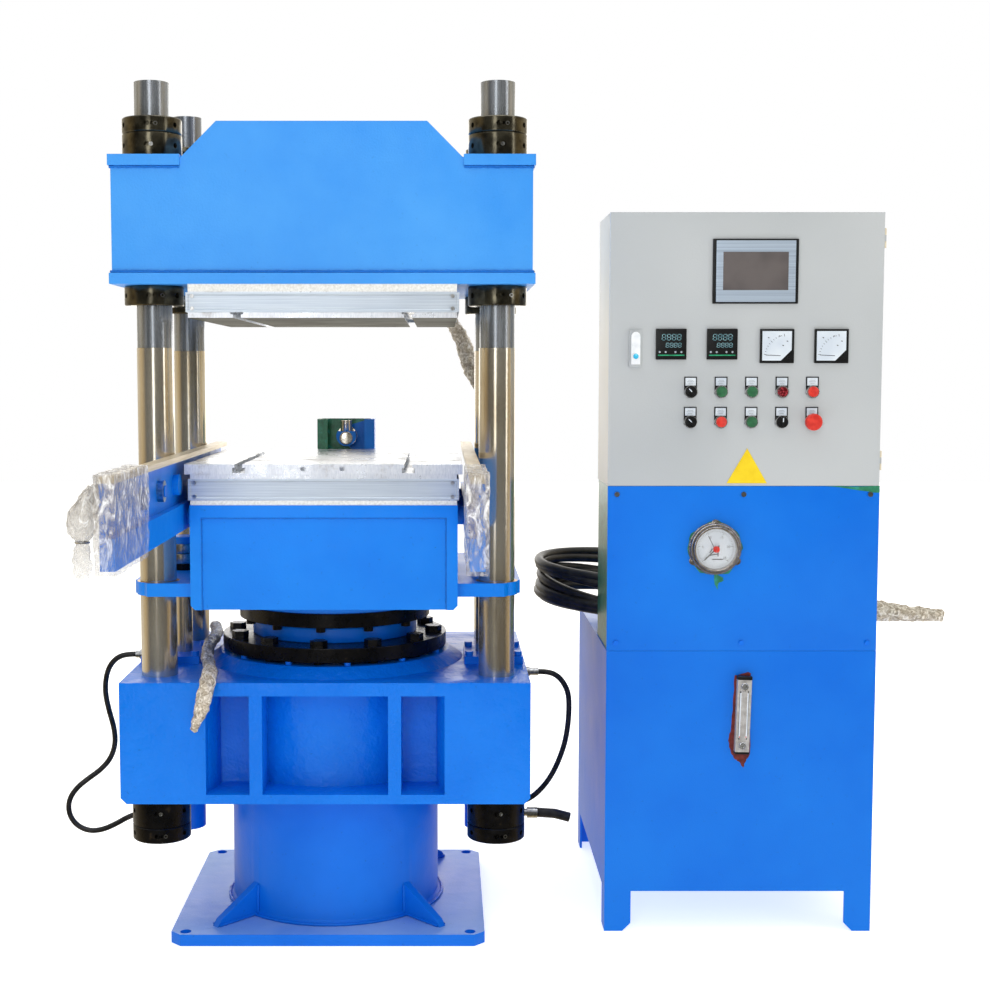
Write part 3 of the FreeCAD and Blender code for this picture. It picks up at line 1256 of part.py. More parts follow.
def pressure_gauge():
    x, z = gauge_x, gauge_z
    flange = rod(GAUGE_FLANGE_R, (x, CAB_Y0 - 3, z), (x, CAB_Y0, z))
    case = rod(GAUGE_CASE_R, (x, CAB_Y0 - GAUGE_FRONT, z), (x, CAB_Y0 + GAUGE_BODY, z))
    dial_y = CAB_Y0 - GAUGE_FRONT + GAUGE_DIAL_DEPTH
    mouth = rod(GAUGE_DIAL_R, (x, CAB_Y0 - GAUGE_FRONT - 1, z), (x, dial_y, z))
    arbor = rod(3.0, (x, dial_y - 6, z), (x, dial_y, z))
    stem_y = CAB_Y0 + GAUGE_BODY - 18
    stem = rod(9, (x, stem_y, z - GAUGE_CASE_R + 6), (x, stem_y, z - 90))
    save("gauge_case", fuse([flange, case, stem]).cut(mouth).fuse(arbor))
    pointer_y = dial_y - 4
    arm = block(x - 1.5, x + 1.5, pointer_y - POINTER_T, pointer_y, z - POINTER_TAIL, z + POINTER_LEN)
    hub = rod(6, (x, pointer_y - POINTER_T, z), (x, pointer_y, z))
    pointer = arm.fuse(hub).cut(rod(3.0 + RUN, (x, pointer_y - 3, z), (x, pointer_y + 1, z)))
    pointer.rotate(Vector(x, 0, z), BACK, -135)
    save("gauge_pointer", pointer)
    knob_y = dial_y - 6 - GAP
    knob = rod(GAUGE_KNOB_R, (x, knob_y - GAUGE_KNOB_H, z), (x, knob_y, z))
    slot = block(x - 1.2, x + 1.2, knob_y - GAUGE_KNOB_H - 1, knob_y - GAUGE_KNOB_H + 2.5,
                 z - GAUGE_KNOB_R, z + GAUGE_KNOB_R)
    save("gauge_knob", knob.cut(slot))


def level_gauge():
    x, y1 = level_x, CAB_Y0
    z0, z1 = level_low, level_low + LEVEL_H
    half = LEVEL_W / 2
    body = block(x - half, x + half, y1 - LEVEL_D, y1, z0, z1)
    window = block(x - half + 6, x + half - 6, y1 - LEVEL_D - 1, y1 - 5,
                   z0 + 2 * LEVEL_SCREW_IN, z1 - 2 * LEVEL_SCREW_IN)
    tube = rod(LEVEL_TUBE_R, (x, y1 - 13, z0 + 2 * LEVEL_SCREW_IN), (x, y1 - 13, z1 - 2 * LEVEL_SCREW_IN))
    shapes = [body.cut(window), tube.common(window)]
    shapes += [rod(7, (x, y1 - LEVEL_D - 4, z), (x, y1 - LEVEL_D, z))
               for z in (z0 + LEVEL_SCREW_IN, z1 - LEVEL_SCREW_IN)]
    for shape in shapes:
        shape.rotate(Vector(x, y1, (z0 + z1) / 2), BACK, LEVEL_TILT)
    save("level_gauge", shapes)


def pump_unit():
    x, y = motor_x, motor_y
    motor_low = tank_top + MOTOR_STAND
    stand = pipe(MOTOR_R - 10, MOTOR_R - 22, (x, y, tank_top), (x, y, motor_low))
    flange = rod(MOTOR_FLANGE_R, (x, y, motor_low), (x, y, motor_low + MOTOR_FLANGE_T))
    frame_low = motor_low + MOTOR_FLANGE_T
    frame_top = frame_low + MOTOR_H
    frame = rod(MOTOR_R - 8, (x, y, frame_low), (x, y, frame_top))
    fins = []
    for k in range(24):
        fin = block(MOTOR_R - 12, MOTOR_R, -1.5, 1.5, frame_low, frame_top - 10)
        fin.rotate(Vector(0, 0, 0), UP, 15 * k)
        fin.translate(Vector(x, y, 0))
        fins.append(fin)
    cowl = rod(MOTOR_R + 3, (x, y, frame_top - 6), (x, y, frame_top + MOTOR_FAN_H))
    terminal = block(x + MOTOR_R - 20, x + MOTOR_R + 25, y - 45, y + 45, frame_low + 70, frame_low + 160)
    motor = fuse([flange, frame, cowl, terminal] + fins)
    manifold = block(valve_x0, valve_x1, valve_y0, valve_y1, tank_top, tank_top + VALVE_H)
    valves = []
    middle = (valve_x0 + valve_x1) / 2
    for k in range(3):
        vy = valve_y0 + VALVE_PITCH * (k + 0.5)
        base_z = tank_top + VALVE_H
        valves.append(block(valve_x0 + 8, valve_x1 - 8, vy - 23, vy + 23, base_z, base_z + 46))
        coil_end = middle - VALVE_LEN / 2 - 8
        valves.append(rod(VALVE_R - 3, (valve_x0 + 8, vy, base_z + 23), (coil_end, vy, base_z + 23)))
    neck = rod(FILLER_R - 12, (filler_x, filler_y, tank_top), (filler_x, filler_y, tank_top + 24))
    cap = rod(FILLER_R, (filler_x, filler_y, tank_top + 24), (filler_x, filler_y, tank_top + FILLER_H))
    save("pump_unit", [stand, motor, fuse([manifold] + valves), fuse([neck, cap])])


# ---------------------------------------------------------------- hoses, tails and fittings
RIGHT_HOSE = [(512, -60, 605), (536, -60, 605), (560, -60, 595), (577, -59, 575),
              (588, -58, 549), (590, -56, 514), (588, -54, 470), (581, -51, 424),
              (567, -48, 379), (548, -45, 337), (525, -42, 304), (500, -40, 280),
              (475, -40, 268), (448, -40, 268)]
LEFT_HOSE = [(-498, -40, 645.5), (-524, -40, 645.5), (-549, -40, 635), (-567, -38, 613),
             (-577, -34, 582), (-580, -28, 542), (-573, -19, 496), (-563, -10, 451),
             (-561, -5, 409), (-573, -8, 371), (-598, -15, 343), (-629, -24, 322),
             (-656, -32, 301), (-675, -38, 272), (-675, -42, 237), (-656, -44, 208),
             (-624, -45, 193), (-590, -45, 196), (-557, -43, 210), (-524, -41, 229),
             (-490, -40, 240), (-450, -40, 240)]
LEFT_TAIL = [(-334, 206, 676), (-322, 150, 676), (-312, 92, 679), (-307, 30, 680),
             (-306, -36, 680), (-306, -104, 678), (-299, -172, 664), (-284, -238, 651.3),
             (-273, -290, 651.3), (-268, -328, 658), (-265, -362, 659), (-266, -393, 641),
             (-271, -405, 608), (-281, -397, 572), (-298, -388, 534)]
UPPER_TAIL = [(264, 356, 1510), (264, 388, 1510), (270, 422, 1503), (281, 450, 1483),
              (295, 468, 1453), (311, 474, 1418), (327, 470, 1380), (338, 462, 1339),
              (336, 455, 1297)]
SIDE_TAIL = [(1085, 178, 722), (1126, 178, 722), (1178, 166, 724), (1240, 155, 728),
             (1308, 150, 731), (1378, 152, 729), (1448, 155, 722), (1520, 158, 716),
             (1592, 160, 712)]


def led_from(start, points):
    """A hand-placed route, moved as one so that it starts where its cord comes out."""
    move = Vector(*start) - Vector(*points[0])
    return [tuple(Vector(*point) + move) for point in points]


def hoses():
    upper_exit = (guard_w / 2 - UPPER_TAIL_IN, PRESS_D / 2, upper_plate_low + UPPER_TAIL_UP)
    save("hose_right", hose("hose_right", RIGHT_HOSE, HOSE_R))
    save("hose_left", hose("hose_left", LEFT_HOSE, HOSE_R))
    save("cable_tail_left", hose("cable_tail_left", LEFT_TAIL, TAIL_R))
    save("cable_tail_upper", hose("cable_tail_upper", led_from(upper_exit, UPPER_TAIL), UPPER_TAIL_R))
    save("cable_tail_side", hose("cable_tail_side", SIDE_TAIL, SIDE_TAIL_R))
    ring = pipe(COIL_OUT_R, COIL_IN_R, (coil_x, coil_y, tank_top + GAP),
                (coil_x, coil_y, tank_top + GAP + COIL_H))
    z = tank_top + COIL_EXIT_UP
    lead = rod(COIL_HOSE_R, (coil_x + COIL_OUT_R - 10, coil_y, z), (valve_x0, coil_y, z))
    save("hose_coil", ring.fuse(lead))


def port(start, end, step):
    """Screwed hose end: a ferrule with a round nut that begins at a share of its length."""
    a, b = Vector(*start), Vector(*end)
    low = a + (b - a) * step
    return fuse([rod(FERRULE_R, a, b), rod(FERRULE_NUT_R, low, low + (b - a) * 0.3)])


def hose_fittings():
    """Ports, ferrules and the capped elbow that the hoses screw to."""
    flange_z = beam_top + LIFT_FLANGE_T / 2
    right, left = RIGHT_HOSE, LEFT_HOSE
    shapes = [port((beam_w / 2, right[0][1], right[0][2]), right[0], 0.1),
              port((-lift_flange_x[1], LIFT_Y, flange_z), left[0], 0.35),
              port((-port_face, LIFT_Y, port_low), left[-1], 0.2),
              port((port_face, LIFT_Y, port_high), right[-1], 0.2)]
    nut = (port_face + STUB_NUT_OUT, LIFT_Y, port_low)
    bends = [(port_face + out, LIFT_Y, port_low - drop)
             for out, drop in zip(STUB_BEND_OUT, STUB_DROP)]
    stub = fuse([rod(STUB_NIPPLE_R, (port_face, LIFT_Y, port_low), nut),
                 rod(STUB_NUT_R, nut, bends[0]),
                 rod(STUB_R, bends[0], bends[1]), rod(STUB_R, bends[1], bends[2]),
                 Part.makeSphere(STUB_R, Vector(*bends[1]))])
    save("hose_fittings", shapes + [stub])


def main():
    os.makedirs("parts", exist_ok=True)
    base_pedestal()
    lower_beam()
    main_cylinder()
    gland_ring()
    columns()
    column_nuts()
    upper_beam()
    side_cylinders()
    side_rods()
    frame_bolts()
    upper_stack()
    lower_stack()
    ram()
    ram_flange_ring()
    platform_table()
    guide_bushes()
    feed_rails()
    platform_bolts()
    rail_rollers()
    rail_films()
    mould_puller()
    oil_tank()
    middle_frame()
    electrical_box()
    switchgear()
    cabinet_door()
    door_instruments()
    operating_elements()
    lock_handle()
    pressure_gauge()
    level_gauge()
    pump_unit()
    hoses()
    hose_fittings()


main()
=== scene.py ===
"""Four-column heated moulding press with its hydraulic tank and control cabinet, over its CAD model."""
import json
import math
import random

import bpy
from mathutils import Matrix, Vector

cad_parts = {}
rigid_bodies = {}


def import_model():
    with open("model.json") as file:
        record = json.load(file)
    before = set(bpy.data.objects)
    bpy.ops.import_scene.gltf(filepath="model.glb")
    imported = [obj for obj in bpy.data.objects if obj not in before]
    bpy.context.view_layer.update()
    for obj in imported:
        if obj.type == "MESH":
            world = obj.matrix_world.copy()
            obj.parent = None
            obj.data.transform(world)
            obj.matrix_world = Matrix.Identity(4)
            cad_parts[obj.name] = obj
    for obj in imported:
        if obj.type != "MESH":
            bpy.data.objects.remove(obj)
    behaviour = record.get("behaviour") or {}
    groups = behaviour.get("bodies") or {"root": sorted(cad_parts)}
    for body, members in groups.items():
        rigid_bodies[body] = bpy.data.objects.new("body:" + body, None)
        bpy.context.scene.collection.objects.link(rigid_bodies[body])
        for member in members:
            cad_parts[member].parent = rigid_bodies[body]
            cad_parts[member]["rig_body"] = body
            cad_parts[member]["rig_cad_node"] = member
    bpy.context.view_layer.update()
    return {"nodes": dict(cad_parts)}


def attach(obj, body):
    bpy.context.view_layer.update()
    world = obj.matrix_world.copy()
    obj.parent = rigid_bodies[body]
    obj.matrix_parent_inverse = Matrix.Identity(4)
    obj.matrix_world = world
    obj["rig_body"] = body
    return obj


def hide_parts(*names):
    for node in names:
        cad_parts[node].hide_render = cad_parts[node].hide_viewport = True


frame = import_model()
bpy.ops.object.select_all(action="DESELECT")
random.seed(7)


# ---------------------------------------------------------------- base and pedestal
# The press stands on a thick flame-cut plate with a rolled tube welded to it, braced by gussets. All of it
# is mild steel under one coat of sprayed blue enamel, a little uneven where it was brushed over the welds.
def linear(code):
    """Shader colour from an sRGB hex code."""
    parts = [int(code[i:i + 2], 16) / 255 for i in (1, 3, 5)]
    return [c / 12.92 if c <= 0.04045 else ((c + 0.055) / 1.055) ** 2.4 for c in parts] + [1.0]


def add(tree, kind, sockets=None, stops=(), to=(), **settings):
    """Add one shader node: its socket values or links, a ramp's stops, and the shader inputs it feeds."""
    node = tree.nodes.new("ShaderNode" + kind)
    for name, value in settings.items():
        setattr(node, name, value)
    for name, value in (sockets or {}).items():
        if isinstance(value, bpy.types.NodeSocket):
            tree.links.new(value, node.inputs[name])
        else:
            node.inputs[name].default_value = value
    for k, (at, value) in enumerate(stops):
        ramp = node.color_ramp.elements
        stop = ramp[k] if k < len(ramp) else ramp.new(at)
        stop.position = at
        stop.color = linear(value) if isinstance(value, str) else (value, value, value, 1.0)
    for name in [to] if isinstance(to, str) else to:
        tree.links.new(node.outputs[0], tree.nodes["Principled BSDF"].inputs[name])
    return node


def finish(name, **constants):
    """Start a material: give back it, its node tree and the object coordinates in metres."""
    material = bpy.data.materials.new(name)
    material.use_nodes = True
    tree = material.node_tree
    for socket, value in constants.items():
        tree.nodes["Principled BSDF"].inputs[socket.replace("_", " ")].default_value = value
    return material, tree, add(tree, "TexCoord").outputs["Object"]


def noise(tree, place, size, detail=2.0, rough=0.5, distortion=0.0):
    """Noise with grains of a size in millimetres, or drawn out along the axes by three scales."""
    scale = 1.0
    if isinstance(size, tuple):
        place = add(tree, "Mapping", {"Vector": place, "Scale": size}).outputs["Vector"]
    else:
        scale = 1000 / size
    return add(tree, "TexNoise", {"Vector": place, "Scale": scale, "Detail": detail, "Roughness": rough,
                                  "Distortion": distortion}).outputs["Fac"]


def enamel(name, light, dark, grain_mm=5.0, grain=0.12, wave_mm=90.0, wave=0.25, grime="#123A66"):
    """Sprayed alkyd enamel: broad waves of the filled plate, orange peel, and faint specks of shop grime."""
    material, tree, place = finish(name, Specular_IOR_Level=0.24)
    broad = noise(tree, place, 1000 / 2.1, 4.0, 0.6)
    tint = add(tree, "ValToRGB", {"Fac": broad}, [(0.35, dark), (0.65, light)])
    spots = add(tree, "ValToRGB", {"Fac": noise(tree, place, 11, 8.0, 0.7)}, [(0.62, 0.0), (0.78, 0.55)])
    add(tree, "MixRGB", {"Fac": spots.outputs["Color"], "Color1": tint.outputs["Color"],
                         "Color2": linear(grime)}, to="Base Color")
    add(tree, "MapRange", {"Value": broad, "From Min": 0.3, "From Max": 0.7, "To Min": 0.28, "To Max": 0.42},
        to="Roughness")
    skin = add(tree, "Bump", {"Height": noise(tree, place, grain_mm), "Strength": grain, "Distance": 0.002})
    add(tree, "Bump", {"Height": noise(tree, place, wave_mm), "Strength": wave, "Distance": 0.01,
                       "Normal": skin.outputs["Normal"]}, to="Normal")
    return material


def partly(piece, material, where):
    """Give the faces of a piece or CAD node whose centre and normal pass a test one more material."""
    mesh = frame["nodes"][piece].data if isinstance(piece, str) else piece.data
    mesh.materials.append(material)
    for face in mesh.polygons:
        if where(face.center, face.normal):
            face.material_index = len(mesh.materials) - 1


def only(piece):
    """Make one piece the only selected and active one."""
    bpy.ops.object.select_all(action="DESELECT")
    piece.select_set(True)
    bpy.context.view_layer.objects.active = piece


def settle(piece, material, body, smooth=30):
    """Last steps of every new piece: bake its place into its mesh, colour it and tie it to a CAD body."""
    only(piece)
    bpy.ops.object.transform_apply(location=True, rotation=True, scale=True)
    bpy.ops.object.shade_smooth_by_angle(angle=math.radians(smooth))
    piece.data.materials.clear()
    piece.data.materials.append(material)
    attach(piece, body)
    piece.select_set(False)
    return piece


def apply_modifier(piece, kind, **settings):
    """Add one modifier and apply it."""
    only(piece)
    modifier = piece.modifiers.new(kind, kind)
    for name, value in settings.items():
        setattr(modifier, name, value)
    bpy.ops.object.modifier_apply(modifier=modifier.name)


def eased(node, material, body, edge_mm, segments=2):
    """A copy of a plain CAD node with its sharp edges ground round, which is shown in its place."""
    piece = frame["nodes"][node].copy()
    piece.data = frame["nodes"][node].data.copy()
    piece.name = node + "_eased"
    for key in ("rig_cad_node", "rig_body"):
        if key in piece:
            del piece[key]
    piece.parent = None
    bpy.context.scene.collection.objects.link(piece)
    only(piece)
    bpy.ops.object.mode_set(mode="EDIT")
    bpy.ops.mesh.select_all(action="SELECT")
    bpy.ops.mesh.customdata_custom_splitnormals_clear()
    bpy.ops.mesh.remove_doubles(threshold=0.00002)
    bpy.ops.mesh.dissolve_limited(angle_limit=math.radians(1.0))
    bpy.ops.object.mode_set(mode="OBJECT")
    apply_modifier(piece, "BEVEL", width=edge_mm / 1000, segments=segments, limit_method="ANGLE",
                   angle_limit=math.radians(40), use_clamp_overlap=True, harden_normals=False)
    settle(piece, material, body, 20)
    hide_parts(node)
    return piece


def weld(name, lines, width_mm, material, body):
    """Fillet welds under paint: lumpy beads along lines of points, each bead a string of small puddles."""
    beads = []
    for points in lines:
        curve = bpy.data.curves.new(name, "CURVE")
        curve.dimensions = "3D"
        curve.bevel_depth = width_mm / 2000
        curve.bevel_resolution = 1
        for start, end in zip(points, points[1:]):
            start, end = Vector(start) / 1000, Vector(end) / 1000
            count = max(2, int((end - start).length / 0.006))
            spline = curve.splines.new("POLY")
            spline.points.add(count)
            for k, point in enumerate(spline.points):
                point.co = (*start.lerp(end, k / count), 1)
                point.radius = 1.0 + random.uniform(-0.22, 0.22)
        bead = bpy.data.objects.new(name, curve)
        bpy.context.scene.collection.objects.link(bead)
        beads.append(bead)
    bpy.ops.object.select_all(action="DESELECT")
    for bead in beads:
        bead.select_set(True)
    bpy.context.view_layer.objects.active = beads[0]
    bpy.ops.object.convert(target="MESH")
    bpy.ops.object.join()
    piece = bpy.context.view_layer.objects.active
    piece.name = name
    settle(piece, material, body, 60)


# frame blue: strong sky blue, satin gloss with soft reflections that waver over the filled plates
frame_blue = enamel("frame_blue_enamel", "#0876E8", "#0068DC")
# pedestal blue: the same enamel a shade deeper, as painted shade, since it stands low and faces the floor; it
# also gathers dust
foot_blue = enamel("foot_blue_enamel", "#0874E4", "#0066D4", grain=0.2, wave=0.35)
# painted light on the foot plate's top: its upward faces get a much paler blue for the lamps above, with dark
# specks of grime
foot_top_painted_light_blue = enamel("foot_top_painted_light_enamel", "#8FB6EA", "#4D8BDF", grain=0.2, grime="#2B3A55")
foot = eased("base_pedestal", foot_blue, "frame", 2.0)
PLATE_TOP = 0.0285        # just above the foot plate, in metres
# painted light: the foot plate's upward faces take the pale blue
partly(foot, foot_top_painted_light_blue, lambda c, n: n.z > 0.9 and c.z < PLATE_TOP)


def ring(radius, z, count=48):
    """Points of a level circle in millimetres, for a weld seam."""
    return [(radius * math.cos(math.radians(360 * k / count)),
             radius * math.sin(math.radians(360 * k / count)), z)
            for k in range(count + 1)]


GUSSET_HALF = 11          # the seams run this far to each side of a gusset's middle
weld("pedestal_welds", [ring(271, 32)] + [
    [(math.cos(a) * r + math.sin(a) * s * GUSSET_HALF, math.sin(a) * r - math.cos(a) * s * GUSSET_HALF, z)
     for r, z in ((262, 104), (264, 34), (380, 31))]
    for a in map(math.radians, (45, 135, 225, 315)) for s in (-1, 1)], 7, foot_blue, "frame")


# ---------------------------------------------------------------- lower beam
# A heavy steel casting that carries the four columns and the main cylinder. Its skin is sand-cast: lumpy,
# pitted and filled under the paint, with generous radii and windows that show the round walls inside.
cast_blue = enamel("painted_sand_casting", "#0A7CE8", "#006EDC", grain_mm=7.0, grain=0.7, wave_mm=38.0,
                   wave=0.55, grime="#17497F")
eased("lower_beam", cast_blue, "frame", 6.0, 3)

# ---------------------------------------------------------------- main cylinder and gland ring
# A forged cylinder sunk in the beam, closed by a black gland ring under twelve hexagon bolts.
# The ring is chemically blackened and oiled: near black, a dull gloss with brown where the oil has dried.
black_oxide, tree, place = finish("black_oxide_steel", Metallic=0.6)
oil = noise(tree, place, 28, 6.0, 0.65)
add(tree, "ValToRGB", {"Fac": oil}, [(0.35, "#101012"), (0.6, "#1C1A19"), (0.74, "#4A3E2C")], "Base Color")
add(tree, "MapRange", {"Value": oil, "To Min": 0.16, "To Max": 0.42}, to="Roughness")
add(tree, "Bump", {"Height": noise(tree, place, 4, 3.0), "Strength": 0.2, "Distance": 0.001}, to="Normal")


def surface(name, size, stops, detail=2.0, rough=0.5, gloss=None, bump=None, **constants):
    """A material coloured by one noise; gloss (low, high) and bump (strength, metres) follow it too."""
    material, tree, place = finish(name, **constants)
    fac = noise(tree, place, size, detail, rough)
    if isinstance(stops[0], str):
        stops = [(0.35, stops[0]), (0.65, stops[1])]
    add(tree, "ValToRGB", {"Fac": fac}, stops, "Base Color")
    if gloss:
        add(tree, "MapRange", {"Value": fac, "To Min": gloss[0], "To Max": gloss[1]}, to="Roughness")
    if bump:
        add(tree, "Bump", {"Height": fac, "Strength": bump[0], "Distance": bump[1]}, to="Normal")
    return material


def dress(node, material):
    """Give a CAD node its material."""
    mesh = frame["nodes"][node].data
    mesh.materials.clear()
    mesh.materials.append(material)


# cylinder steel: turned and painted over in part, a mid grey satin metal
cylinder_steel = surface("turned_forged_steel", (4, 4, 400), [(0.3, "#6E6C68"), (0.7, "#8F8C86")],
                         detail=4.0, Metallic=0.9, Roughness=0.4)
dress("main_cylinder", cylinder_steel)
eased("gland_ring", black_oxide, "frame", 2.0)


def disc(name, centre, radius, depth, way="Y", sides=32):
    """A cylinder about a point, along one axis, in millimetres."""
    turn = {"X": (0, math.pi / 2, 0), "Y": (math.pi / 2, 0, 0), "Z": (0, 0, 0)}[way]
    bpy.ops.mesh.primitive_cylinder_add(vertices=sides, radius=radius / 1000, depth=depth / 1000,
                                        location=[value / 1000 for value in centre], rotation=turn)
    piece = bpy.context.object
    piece.name = name
    bpy.ops.object.transform_apply(location=True, rotation=True, scale=True)
    return piece


def joined(name, pieces):
    """Several meshes made one."""
    bpy.ops.object.select_all(action="DESELECT")
    for piece in pieces:
        piece.select_set(True)
    bpy.context.view_layer.objects.active = pieces[0]
    bpy.ops.object.join()
    piece = bpy.context.view_layer.objects.active
    piece.name = name
    return piece


# short painted studs between the gland ring and the boss
STUD_CIRCLE = 272
turns = [math.radians(30 * k - 80) for k in range(12)]
studs = joined("gland_studs", [disc("stud", (STUD_CIRCLE * math.cos(turn), STUD_CIRCLE * math.sin(turn), 664),
                                    8, 8, "Z", 16) for turn in turns])
apply_modifier(studs, "BEVEL", width=0.001, segments=2)
settle(studs, frame_blue, "frame")

# ---------------------------------------------------------------- columns and their nuts
# Four ground and hard-chromed columns clamp the frame together between round nuts. Chrome shows the
# room sharply, with fine lengthwise polishing and a warm brown bloom of old oil towards its edges.
chrome, tree, place = finish("hard_chrome", Metallic=0.86)
streaks = noise(tree, place, (160, 160, 5), 6.0, 0.7)
add(tree, "ValToRGB", {"Fac": noise(tree, place, (14, 14, 2.2), 4.0)},
    [(0.3, "#E6E2D8"), (0.55, "#D2C8B4"), (0.75, "#A8967A")], "Base Color")
add(tree, "MapRange", {"Value": streaks, "From Min": 0.3, "From Max": 0.7, "To Min": 0.13, "To Max": 0.24},
    to="Roughness")
add(tree, "Bump", {"Height": streaks, "Strength": 0.06, "Distance": 0.001}, to="Normal")

# bare column ends: the same steel without its chrome, greyer and duller above the fitted length
bare_steel = surface("bare_ground_steel", (120, 120, 4), [(0.3, "#83888E"), (0.7, "#B2B7BE")], detail=6.0,
                     gloss=(0.16, 0.36), Metallic=0.75)
STUMP, STEP = 0.279, 1.4079       # the chromed length lies between these heights, in metres
dress("columns", chrome)
partly("columns", bare_steel, lambda c, n: c.z > STEP or c.z < STUMP)
nuts = eased("column_nuts", black_oxide, "frame", 1.0)
# the upper nuts still carry their oil: a brown-black mirror that shows the room
oiled_black = surface("oiled_black_oxide", 25, ["#3A372E", "#6A6555"], detail=5.0, Metallic=0.9,
                      Roughness=0.2)
partly(nuts, oiled_black, lambda c, n: c.z > 1.4)

# bright zinc: plated screws and small fittings, a slightly blue white metal with a soft haze
bright_zinc = surface("bright_zinc_plating", 6, ["#A9ABAD", "#DADBDB"], detail=4.0, Metallic=1.0,
                      Roughness=0.28)


def reshape(piece, operation, **settings):
    """Run one edit-mode operation on the whole of a piece."""
    only(piece)
    bpy.ops.object.mode_set(mode="EDIT")
    bpy.ops.mesh.select_all(action="SELECT")
    operation(**settings)
    bpy.ops.object.mode_set(mode="OBJECT")
    return piece


def pick(piece, test):
    """Select only those faces of a piece that pass a test, and leave it in edit mode."""
    only(piece)
    bpy.ops.object.mode_set(mode="EDIT")
    bpy.ops.mesh.select_mode(type="FACE")
    bpy.ops.mesh.select_all(action="DESELECT")
    bpy.ops.object.mode_set(mode="OBJECT")
    for face in piece.data.polygons:
        face.select = test(face)
    bpy.ops.object.mode_set(mode="EDIT")


def inset(piece, way, *steps):
    """Sink or raise the faces that look one way, in steps of (border, height) in millimetres."""
    pick(piece, lambda face: face.normal.dot(Vector(way)) > 0.99)
    for border, height in steps:
        bpy.ops.mesh.inset(thickness=border / 1000, depth=height / 1000)
    bpy.ops.object.mode_set(mode="OBJECT")


COLUMN = (400, 247.5)
NUT_RIM = 68.5
NUTS = ((279, 72), (243, 36), (1505, 46), (1841, 57), (1898, 36))     # foot and height of each nut
screws = []
for sx in (-1, 1):
    for sy in (-1, 1):
        for k, (low, tall) in enumerate(NUTS):
            turn = math.radians(-82 + 9 * (k % 3))
            screw = disc("set_screw", (sx * COLUMN[0], sy * COLUMN[1] - NUT_RIM + 3.4, low + tall / 2),
                         4.6, 8, "Y", 18)
            inset(screw, (0, -1, 0), (1.6, 0), (0.2, -3))
            screws.append(reshape(screw, bpy.ops.transform.rotate, value=-(turn + math.pi / 2),
                                  orient_axis="Z",
                                  center_override=(sx * COLUMN[0] / 1000, sy * COLUMN[1] / 1000, 0)))
settle(joined("nut_set_screws", screws), bright_zinc, "frame")

# ---------------------------------------------------------------- upper beam
# A box of flame-cut plates with welded shoulders for the nuts. As it hangs under the lamps, its enamel is
# given the lightest blue of all as painted light, and a rough fillet weld runs along the foot of its front
# and back plates.
# painted light: a much lighter copy of the frame enamel for the beam under the lamps
beam_painted_light_blue = enamel("upper_beam_painted_light_enamel", "#469CEC", "#2F8CE6", grain_mm=4.0, grain=0.3, wave=0.35,
                   grime="#2F6FB8")
# weld seams: the same enamel pooled over rough beads, made darker as painted shade in their ripples
seam_painted_shade_blue = enamel("weld_seam_painted_shade", "#1A78D8", "#0F5CB4", grain_mm=3.0, grain=0.6, wave_mm=12.0,
                   wave=0.5)
eased("upper_beam", beam_painted_light_blue, "frame", 1.5)
weld("upper_beam_welds", [
    [(-479, s * 351.5, 1579), (479, s * 351.5, 1579)] for s in (-1, 1)] + [
    [(e * 479, s * 351.5, 1813), (e * 321, s * 351.5, 1813)] for s in (-1, 1) for e in (-1, 1)] + [
    [(e * 478, -350, 1579), (e * 478, 350, 1579)] for e in (-1, 1)], 7, seam_painted_shade_blue, "frame")

# ---------------------------------------------------------------- upper heating plate
# A ground steel plate with cartridge heaters and two T-slots, held under the beam over a sheet of
# white calcium-silicate board, with a folded stainless guard round its edge.
board_white = surface("calcium_silicate_board", 5, [(0.3, "#D6D6D0"), (0.65, "#F0F0EC")], detail=5.0,
                      bump=(0.25, 0.001), Roughness=0.85)
for level in ("upper", "lower"):
    dress(level + "_insulation_board", board_white)

# plate steel: surface-ground carbon steel, bright grey with lengthwise grinding lines, rust bloom and oil
plate_steel, tree, place = finish("surface_ground_steel", Metallic=0.5)
lines = noise(tree, place, (300, 6, 60), 5.0, 0.7)
stains = noise(tree, place, 75, 8.0, 0.72)
bright = add(tree, "ValToRGB", {"Fac": lines}, [(0.3, "#D0D6E0"), (0.7, "#F4F7FC")])
rust = add(tree, "ValToRGB", {"Fac": stains}, [(0.56, 0.0), (0.64, 0.3), (0.72, 0.7)])
brown = add(tree, "ValToRGB", {"Fac": stains}, [(0.5, "#A8A091"), (0.75, "#6E5A41")])
add(tree, "MixRGB", {"Fac": rust.outputs["Color"], "Color1": bright.outputs["Color"],
                     "Color2": brown.outputs["Color"]}, to="Base Color")
add(tree, "MapRange", {"Value": stains, "From Min": 0.35, "From Max": 0.7, "To Min": 0.2, "To Max": 0.5},
    to="Roughness")
add(tree, "Bump", {"Height": lines, "Strength": 0.08, "Distance": 0.001}, to="Normal")
upper_plate = eased("upper_heating_plate", plate_steel, "frame", 0.8)
# its underside is painted darker: a dull grey-brown that is painted shade and a painted reflection of the
# table below, over a thin burnt film of oil
underside_shade_and_oil_steel = surface("ground_steel_underside_shade_and_oil", 120, ["#47463A", "#6E6F63"], detail=5.0, Roughness=0.5,
                  Specular_IOR_Level=0.05)
PLATE_FOOT = 1.4746       # just above the upper plate's underside, in metres
# painted shade: the upper plate's downward faces take the dark dull steel
partly(upper_plate, underside_shade_and_oil_steel, lambda c, n: n.z < -0.9 and c.z < PLATE_FOOT)

